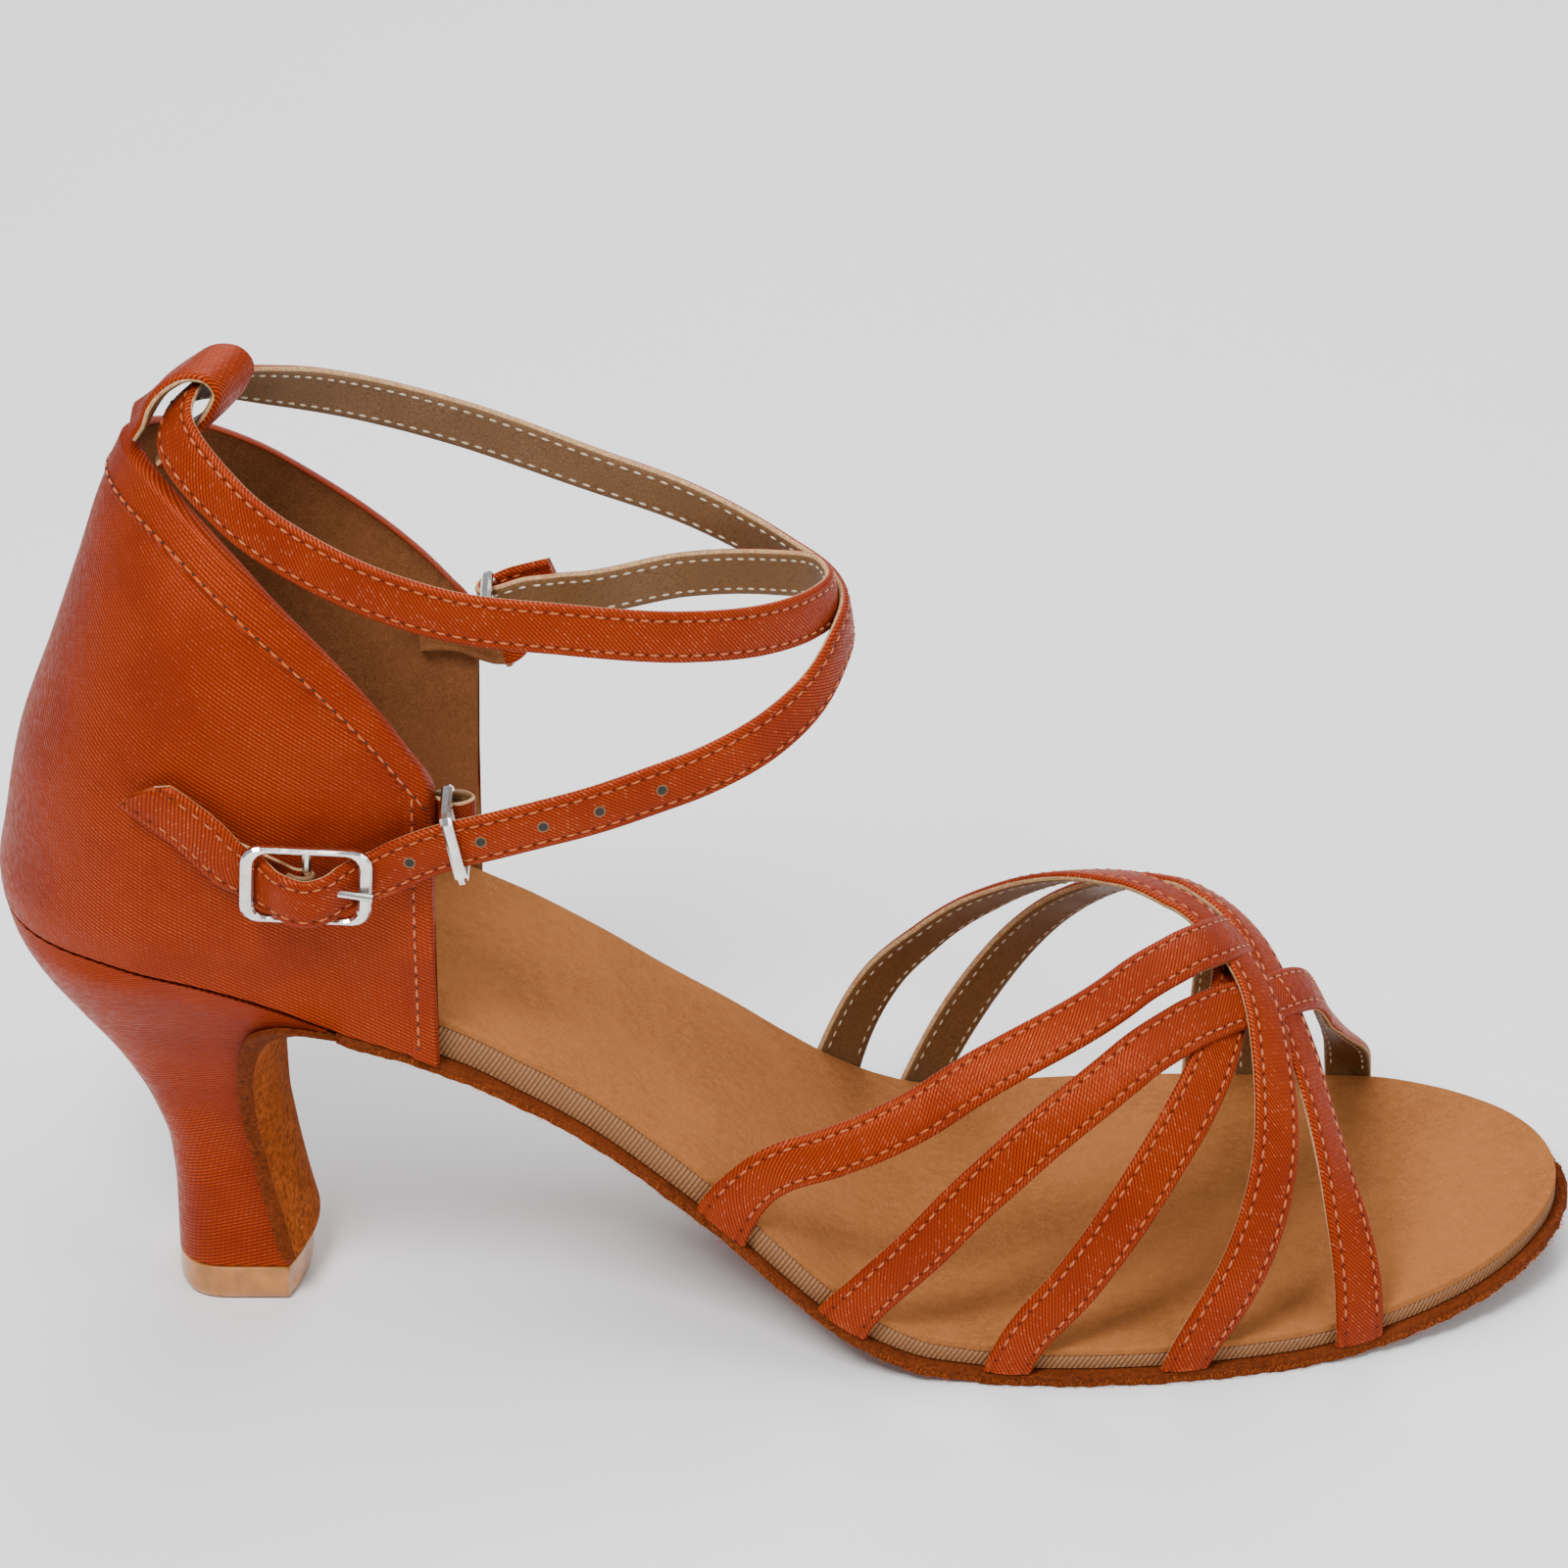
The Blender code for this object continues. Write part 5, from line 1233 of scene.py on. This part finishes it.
def suede(name, colour, scale, contrast=0.35, depth=0.0003):
    """Napped leather: matt, mottled by its nap and by slow rubbed patches."""
    made, tree, shader, coords = material(name)
    nap = use(tree, "suede_nap", Vector=coords["Object"], Scale=scale)
    grain = ramp(tree, nap["Height"], 0.3, 0.7)
    base = mix(tree, grain, tone(colour, 1 - contrast), tone(colour, 1 + contrast))
    base = mix(tree, ramp(tree, nap["Tone"], 0.35, 0.7, 0.0, 0.35), base, tone(colour, 0.6))
    base = mix(tree, ramp(tree, nap["Patch"], 0.4, 0.65, 0.0, 0.35), base, tone(colour, 1.25))
    rough = ramp(tree, nap["Tone"], 0.2, 0.8, 0.82, 1.0)
    dress(tree, shader, base, rough, nap["Height"], 0.6, depth, Specular_IOR_Level=0.08)
    return made


def leather(name, colour, scale):
    """Smooth leather lining: fine creased grain with slow darker patches and rubbed edges."""
    made, tree, shader, coords = material(name)
    cells = new_node(tree, "ShaderNodeTexVoronoi", feature="DISTANCE_TO_EDGE")
    feed(tree, coords["Object"], cells.inputs["Vector"])
    feed(tree, scale, cells.inputs["Scale"])
    grain = ramp(tree, cells.outputs["Distance"], 0.0, 0.12)
    slow = noise(tree, coords["Object"], 120.0)
    wear = use(tree, "edge_wear", Vector=coords["Object"], Amount=0.5)
    base = mix(tree, grain, tone(colour, 0.6), colour)
    base = mix(tree, ramp(tree, slow, 0.35, 0.7, 0.0, 0.4), base, tone(colour, 0.7))
    base = mix(tree, wear["Mask"], base, tone(colour, 1.5))
    dress(tree, shader, base, ramp(tree, slow, 0.3, 0.7, 0.45, 0.62), grain, 0.35, 0.0001)
    return made


def raw_edge(name, colour):
    """Cut edge of cloth and leather: pale fibres in thin layers."""
    made, tree, shader, coords = material(name)
    fray = noise(tree, coords["Object"], 2200.0, 4.0, 0.75)
    layer = noise(tree, coords["Object"], 700.0, 2.0)
    base = mix(tree, ramp(tree, fray, 0.35, 0.65), tone(colour, 0.55), tone(colour, 1.1))
    base = mix(tree, ramp(tree, layer, 0.5, 0.7, 0.0, 0.5), base, (0.42, 0.1, 0.04, 1))
    dress(tree, shader, base, ramp(tree, layer, 0.3, 0.7, 0.7, 0.9), fray, 0.6, 0.0002)
    return made


def tape(name, colour):
    """Woven edge tape: a coarse slanting rib crossed by a finer one, browner with painted shade in its
    valleys, with painted glints on some floats.
    """
    made, tree, shader, coords = material(name)
    weave = use(tree, "satin_weave", Vector=coords["UV"], Pitch=0.0007, Angle=math.radians(58))
    # Painted shade in the rib valleys, painted highlight on their crowns.
    base = mix(tree, ramp(tree, weave["Height"], 0.1, 0.75), tone(colour, 0.4), tone(colour, 1.15))
    # Painted glints on some floats.
    base = mix(tree, calc(tree, "MULTIPLY", weave["PaintedGlint"], 0.35), base, tone(colour, 1.7))
    dress(tree, shader, base, ramp(tree, weave["Float"], 0.0, 1.0, 0.6, 0.85), weave["Height"], 0.8, 0.0002)
    return made


def thread(name, colour):
    """Twisted thread: slanting plies along each stitch."""
    made, tree, shader, coords = material(name)
    weave = use(tree, "satin_weave", Vector=coords["Object"], Pitch=0.0003, Angle=math.radians(60))
    # Painted shade in the grooves between the plies, painted highlight on their crowns.
    base = mix(tree, ramp(tree, weave["Height"], 0.0, 0.8), tone(colour, 0.6), tone(colour, 1.2))
    rough = ramp(tree, weave["Float"], 0.0, 1.0, 0.35, 0.55)
    dress(tree, shader, base, rough, weave["Height"], 0.4, 0.00008, Sheen_Weight=0.2)
    return made


def tip_plastic(name, colour):
    """Moulded amber heel tip: cloudy, a little see-through, with scuffs low down."""
    made, tree, shader, coords = material(name)
    cloud = noise(tree, coords["Object"], 220.0)
    scuff = ramp(tree, noise(tree, coords["Object"], 1400.0, 5.0, 0.8), 0.58, 0.7)
    base = mix(tree, ramp(tree, cloud, 0.3, 0.7), tone(colour, 0.75), tone(colour, 1.2))
    base = mix(tree, calc(tree, "MULTIPLY", scuff, 0.4), base, tone(colour, 0.45))
    dress(
        tree, shader, base, ramp(tree, scuff, 0.0, 1.0, 0.28, 0.6), scuff, 0.3, 0.0001,
        Subsurface_Weight=0.35, Subsurface_Radius=(0.004, 0.002, 0.001), Coat_Weight=0.3,
    )
    return made


def nickel(name, colour):
    """Polished plated metal with hairline scratches and faint smudges."""
    made, tree, shader, coords = material(name)
    stretch = new_node(tree, "ShaderNodeMapping")
    stretch.inputs["Scale"].default_value = (0.15, 1.0, 1.0)
    feed(tree, coords["Object"], stretch.inputs["Vector"])
    hair = noise(tree, stretch.outputs[0], 5000.0, 4.0, 0.7)
    smudge = noise(tree, coords["Object"], 350.0, 2.0)
    base = mix(tree, ramp(tree, smudge, 0.35, 0.7), colour, tone(colour, 0.78))
    dress(tree, shader, base, ramp(tree, smudge, 0.3, 0.75, 0.08, 0.26), hair, 0.12, 0.00003, Metallic=1.0)
    return made


def flat_dark(name, colour):
    """The shadowed inside of a punched hole."""
    made, tree, shader, coords = material(name)
    speck = noise(tree, coords["Object"], 3000.0)
    feed(tree, mix(tree, speck, tone(colour, 0.5), tone(colour, 1.5)), shader.inputs["Base Color"])
    feed(tree, ramp(tree, speck, 0.0, 1.0, 0.7, 0.95), shader.inputs["Roughness"])
    return made


FINISHES = {}


def length(name, note, value):
    return FloatProperty(name=name, description=note, default=value, unit="LENGTH")


def colour(name, note, *value):
    return FloatVectorProperty(name=name, description=note, subtype="COLOR", size=4, default=(*value, 1))


class SandalSizes(bpy.types.PropertyGroup):
    """Sizes of the cloth, thread and fibres."""

    stitch_pitch: length("Stitch pitch", "From one stitch to the next", 0.0022)
    stitch_length: length("Stitch length", "Thread seen of each stitch", 0.0015)
    stitch_radius: length("Thread radius", "Half the thickness of the thread", 0.00019)
    weave_pitch: length("Strap weave", "Pitch of the straps' bias weave", 0.00048)
    rib_pitch: length("Counter ribs", "Pitch of the counter's twill ribs", 0.00055)
    fibre_length: length("Fibre length", "Longest loose fibre of the sole's edge", 0.0011)
    fibre_count: IntProperty(name="Fibres", description="Number of loose fibres", default=2600, min=0)


class SandalColours(bpy.types.PropertyGroup):
    """Colours of the materials, linear."""

    satin: colour("Satin", "Cloth of the straps and the back", 0.27, 0.026, 0.0034)
    lining: colour("Strap lining", "Leather inside the straps", 0.17, 0.078, 0.024)
    counter_lining: colour("Back lining", "Suede inside the back", 0.2, 0.076, 0.028)
    insole: colour("Insole", "Suede of the insole", 0.31, 0.112, 0.032)
    tape: colour("Tape", "Woven tape round the insole", 0.26, 0.105, 0.033)
    sole: colour("Sole", "Suede of the sole", 0.34, 0.075, 0.01)
    sole_edge: colour("Sole edge", "Cut edge of the sole", 0.13, 0.026, 0.006)
    raw: colour("Raw edge", "Cut edge of the straps", 0.55, 0.33, 0.15)
    thread: colour("Thread", "Golden thread", 0.42, 0.085, 0.009)
    pale_thread: colour("Pale thread", "Thread on the linings", 0.5, 0.4, 0.27)
    tip: colour("Heel tip", "Moulded heel tip", 0.42, 0.16, 0.03)
    nickel: colour("Nickel", "Plated metal", 0.76, 0.74, 0.71)
    floor: colour("Floor", "Pale floor", 0.9, 0.9, 0.9)


class SANDAL_OT_finishes(bpy.types.Operator):
    """Makes the shared effects and the shoe's materials"""

    bl_idname = "sandal.finishes"
    bl_label = "Finishes"

    def execute(self, context):
        sizes, colours = context.scene.sandal_sizes, context.scene.sandal_colours
        for build in (build_weave, build_nap, build_pits, build_wear):
            build()
        row = STRAP_WIDTH / 2 - STITCH_MARGIN
        cloth, fine = tuple(colours.satin), 2600.0
        FINISHES.update(
            strap=satin("strap_satin", cloth, sizes.weave_pitch, 42, 0.16, row, sizes.stitch_pitch),
            plain=satin("plain_satin", cloth, sizes.weave_pitch, 42, 0.12),
            back=satin("counter_satin", cloth, sizes.rib_pitch, 28, 0.06),
            heel=satin("heel_satin", cloth, sizes.rib_pitch, 12, 0.06),
            lining=leather("strap_lining", tuple(colours.lining), 1400.0),
            raw=raw_edge("strap_raw_edge", tuple(colours.raw)),
            inside=suede("counter_lining", tuple(colours.counter_lining), fine),
            insole=suede("insole_suede_nap", tuple(colours.insole), fine, 0.25),
            tape=tape("waist_tape", tuple(colours.tape)),
            sole=suede("sole_suede", tuple(colours.sole), 900.0, 0.7, 0.002),
            edge=suede("sole_edge", tuple(colours.sole_edge), 1600.0, 0.5, 0.0006),
            fibre=suede("sole_fibres", tuple(colours.sole), 900.0, 0.3),
            thread=thread("golden_thread", tuple(colours.thread)),
            pale=thread("pale_thread", tuple(colours.pale_thread)),
            tip=tip_plastic("amber_tip", tuple(colours.tip)),
            nickel=nickel("polished_nickel", tuple(colours.nickel)),
            dark=flat_dark("hole_shadow", (0.02, 0.012, 0.008, 1)),
        )
        return {"FINISHED"}


class SANDAL_OT_sole(bpy.types.Operator):
    """Makes the suede sole with its breast flap and loose fibres, the taped insole board and the sock"""

    bl_idname = "sandal.sole"
    bl_label = "Sole and insole"

    def execute(self, context):
        sizes = context.scene.sandal_sizes
        turns = np.linspace(turn_at(x_at(BREAST_STATION)) - 6 * SOLE_START_TURN, math.pi, 520)
        ragged = ragged_edge(turns)
        sole = sole_layer(turns, ragged, tread_z, sole_top_z, SHOULDER_SOLE, 0)
        piece("suede_sole", [sole, flap_skin()], (FINISHES["edge"], FINISHES["sole"]), "suede", "outsole")
        loose = fibres(sizes.fibre_count, sizes.fibre_length)
        piece("sole_fibres", [loose], (FINISHES["fibre"],), "suede")
        turns = np.linspace(0.0, math.pi, 300)
        inset = insole_inset(turns)
        board = sole_layer(turns, inset, lambda x: sole_top_z(x) + GAP, board_top_z, SHOULDER_BOARD, 1)
        look = (FINISHES["insole"], FINISHES["tape"])
        piece("insole_board_taped", [board], look, "insole_suede", "insole_board")
        sock = sole_layer(turns, inset, lambda x: board_top_z(x) + GAP * 0.3, sock_top_z, SHOULDER_SOCK, 0)
        piece("insole_sock_nap", [sock], (FINISHES["insole"],), "insole_suede", "insole_sock")
        return {"FINISHED"}


class SANDAL_OT_heel(bpy.types.Operator):
    """Makes the satin-covered heel and its moulded tip"""

    bl_idname = "sandal.heel"
    bl_label = "Heel"

    def execute(self, context):
        shares = np.concatenate((np.linspace(0, 1, 40) ** 2.0, np.linspace(1.03, 2.0, 16)))
        block = heel_skin(np.linspace(0, 1, 70), shares, np.zeros(70))
        piece("heel_satin_cover", [block], (FINISHES["heel"],), "satin", "heel_block")
        heights = np.array((0.3, 0.7, 0.96, 1.0)) * (HEEL_TIP_HEIGHT - GAP)
        heights = np.concatenate(((0.0, 0.0003, 0.0008), heights))
        swell = np.array((-0.0007, -0.0003, -0.0001, 0.0, 0.0, 0.0, -0.0003))
        tip = heel_skin(np.zeros(7), shares, swell, heights)
        piece("heel_tip_moulded", [tip], (FINISHES["tip"],), "heel_rubber", "heel_tip")
        return {"FINISHED"}


class SANDAL_OT_counter(bpy.types.Operator):
    """Makes the closed back with its binding, lining and stitching, and the loop over its top"""

    bl_idname = "sandal.counter"
    bl_label = "Counter and back loop"

    def execute(self, context):
        sizes = context.scene.sandal_sizes
        look = (FINISHES["back"], FINISHES["inside"])
        piece("counter_satin_back", [counter_skin()], look, "satin", "counter")
        pitch = sizes.stitch_pitch
        rows, pits = [], []
        for line, normal in counter_lines():
            lifted = line + normal * (BINDING_PROUD + THREAD_SINK)
            rows.append(stitch_row(lifted, normal, pitch, sizes.stitch_length, sizes.stitch_radius))
            # The needle pits between the stitches are dark pills of painted shade.
            sunk = line + normal * (BINDING_PROUD - THREAD_SINK)
            pits.append(stitch_row(sunk, normal, pitch, PIT_LENGTH, PIT_RADIUS, -pitch / 2))
        piece("counter_stitches", rows, (FINISHES["thread"],), "satin")
        piece("counter_needle_pits", pits, (FINISHES["dark"],), "satin")
        look = (FINISHES["plain"], FINISHES["raw"], FINISHES["lining"])
        band = strap_skin(*loop_rails(), LOOP_THICKNESS, LOOP_CROWN)
        piece("back_loop_band", [band], look, "satin", "back_loop")
        return {"FINISHED"}


class SANDAL_OT_vamp(bpy.types.Operator):
    """Makes the five vamp straps, knotted over the toes, with their stitches"""

    bl_idname = "sandal.vamp"
    bl_label = "Vamp straps"

    def execute(self, context):
        sizes = context.scene.sandal_sizes
        skins, gold, pale = [], [], []
        for name, rows in VAMP_STRAPS.items():
            rails = vamp_rails(rows)
            if name in SEWN_STRAPS:
                gold += cross_stitches(*rails, sizes)
            skins.append(strap_skin(*rails, STRAP_THICKNESS, STRAP_CROWN))
            face, back = strap_stitches(*rails, sizes)
            gold += face
            pale += back
        look = (FINISHES["strap"], FINISHES["raw"], FINISHES["lining"])
        piece("vamp_straps_satin", skins, look, "satin", "vamp_straps")
        piece("vamp_stitches", gold, (FINISHES["thread"],), "satin")
        piece("vamp_lining_stitches", pale, (FINISHES["pale"],), "satin")
        return {"FINISHED"}


class SANDAL_OT_ankle(bpy.types.Operator):
    """Makes the ankle strap with its punched holes and stitches, and the tabs of the rings and buckle"""

    bl_idname = "sandal.ankle"
    bl_label = "Ankle strap and tabs"

    def execute(self, context):
        sizes = context.scene.sandal_sizes
        rails = band_rails(ANKLE_STRAP, STRAP_WIDTH, STRAP_STEP)
        look = (FINISHES["strap"], FINISHES["raw"], FINISHES["lining"])
        strap = strap_skin(*rails, STRAP_THICKNESS, STRAP_CROWN, STRAP_TIP, STRAP_SLANT)
        piece("ankle_strap_satin", [strap], look, "satin", "ankle_strap")
        gold, pale = strap_stitches(*rails, sizes)
        piece("ankle_stitches", gold, (FINISHES["thread"],), "satin")
        piece("ankle_lining_stitches", pale, (FINISHES["pale"],), "satin")
        piece("ankle_strap_holes", strap_holes(*rails), (FINISHES["lining"], FINISHES["dark"]), "satin")
        plain = (FINISHES["plain"], FINISHES["raw"], FINISHES["lining"], FINISHES["inside"])
        for node, table, width in (
            ("lateral_tab", LATERAL_TAB, TAB_WIDTH),
            ("medial_tab", MEDIAL_TAB, TAB_WIDTH),
            ("buckle_tab", BUCKLE_TAB, BUCKLE_TAB_WIDTH),
        ):
            rails = band_rails(table, width, TAB_STEP)
            tab = list(strap_skin(*rails, TAB_THICKNESS, TAB_CROWN))
            outer, inner = (0, 2) if node == "medial_tab" else (2, 0)
            index = tab[3].reshape(len(rails[1]) - 1, -1)
            cloth = np.where(index == outer, 0, np.where(index == inner, 2, 1))
            back = np.arange(len(cloth))[:, None] > len(cloth) * 0.6
            tab[3] = np.where(back & (cloth == 0) & (node != "buckle_tab"), 3, cloth).reshape(-1)
            piece(node + "_satin", [tab], plain, "satin", node)
        return {"FINISHED"}


class SANDAL_OT_metal(bpy.types.Operator):
    """Gives the rings, the buckle and its prong their polished nickel"""

    bl_idname = "sandal.metal"
    bl_label = "Rings and buckle"

    def execute(self, context):
        for node in ("lateral_ring", "medial_ring", "buckle_frame", "buckle_prong"):
            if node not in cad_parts:
                raise RuntimeError("the packed model has no node named " + node)
            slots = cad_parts[node].data.materials
            slots.clear()
            slots.append(FINISHES["nickel"])
        return {"FINISHED"}


class SANDAL_OT_stage(bpy.types.Operator):
    """Sets the pale floor, the soft lights and the camera at the photograph's angle"""

    bl_idname = "sandal.stage"
    bl_label = "Stage"

    def execute(self, context):
        colours = context.scene.sandal_colours
        mesh = bpy.data.meshes.new("studio_floor")
        square = FLOOR_REACH * np.array(((-1, -1), (1, -1), (1, 1), (-1, 1)))
        corners = [(x, y, -FLOOR_DROP) for x, y in square]
        mesh.from_pydata(corners, [], [(0, 1, 2, 3)])
        made, tree, shader, coords = material("pale_floor")
        speck = noise(tree, coords["Object"], 30.0)
        pale = tuple(colours.floor)
        feed(tree, mix(tree, speck, tone(pale, 0.99), tone(pale, 1.01)), shader.inputs["Base Color"])
        shader.inputs["Roughness"].default_value = 0.75
        shader.inputs["Specular IOR Level"].default_value = 0.2
        mesh.materials.append(made)
        floor = bpy.data.objects.new("studio_floor", mesh)
        context.scene.collection.objects.link(floor)
        for name, spot, size, power in LIGHTS:
            lamp = bpy.data.lights.new(name, "AREA")
            lamp.size = size
            lamp.energy = power
            away = unit(np.array(spot) - np.array(LIGHTS_AIM))
            side = unit(np.cross((0.0, 0.0, 1.0), away))
            columns = np.stack((side, np.cross(away, side), away, spot), 1)
            thing = bpy.data.objects.new(name, lamp)
            thing.matrix_world = Matrix([*columns.tolist(), (0, 0, 0, 1)])
            context.scene.collection.objects.link(thing)
        world = bpy.data.worlds.new("studio")
        world.use_nodes = True
        background = world.node_tree.nodes["Background"]
        background.inputs[0].default_value = WORLD_COLOUR
        background.inputs[1].default_value = WORLD_STRENGTH
        context.scene.world = world
        lens = bpy.data.cameras.new("photo_camera")
        lens.lens = LENS_MM
        lens.sensor_width = SENSOR_MM
        lens.clip_end = 100.0
        camera = bpy.data.objects.new("photo_camera", lens)
        camera.location = CAMERA_SPOT
        camera.rotation_euler = (math.radians(CAMERA_TILT_DEG), 0, 0)
        context.scene.collection.objects.link(camera)
        context.scene.camera = camera
        return {"FINISHED"}


class SANDAL_PT_panel(bpy.types.Panel):
    """Sizes, colours and the steps that dress the shoe"""

    bl_idname = "SANDAL_PT_panel"
    bl_label = "Dance sandal"
    bl_space_type = "VIEW_3D"
    bl_region_type = "UI"
    bl_category = "Dance sandal"

    def draw(self, context):
        for group in (context.scene.sandal_sizes, context.scene.sandal_colours):
            for name in group.__annotations__:
                self.layout.prop(group, name)
        for step in STEPS:
            self.layout.operator(step.bl_idname)


STEPS = (
    SANDAL_OT_finishes, SANDAL_OT_sole, SANDAL_OT_heel, SANDAL_OT_counter, SANDAL_OT_vamp, SANDAL_OT_ankle,
    SANDAL_OT_metal, SANDAL_OT_stage,
)
CLASSES = (SandalSizes, SandalColours, *STEPS, SANDAL_PT_panel)


def register():
    for item in CLASSES:
        bpy.utils.register_class(item)
    bpy.types.Scene.sandal_sizes = PointerProperty(type=SandalSizes)
    bpy.types.Scene.sandal_colours = PointerProperty(type=SandalColours)


def unregister():
    del bpy.types.Scene.sandal_sizes
    del bpy.types.Scene.sandal_colours
    for item in reversed(CLASSES):
        bpy.utils.unregister_class(item)


def main():
    register()
    bpy.ops.sandal.finishes()
    bpy.ops.sandal.sole()
    bpy.ops.sandal.heel()
    bpy.ops.sandal.counter()
    bpy.ops.sandal.vamp()
    bpy.ops.sandal.ankle()
    bpy.ops.sandal.metal()
    bpy.ops.sandal.stage()


if __name__ == "__main__":
    main()
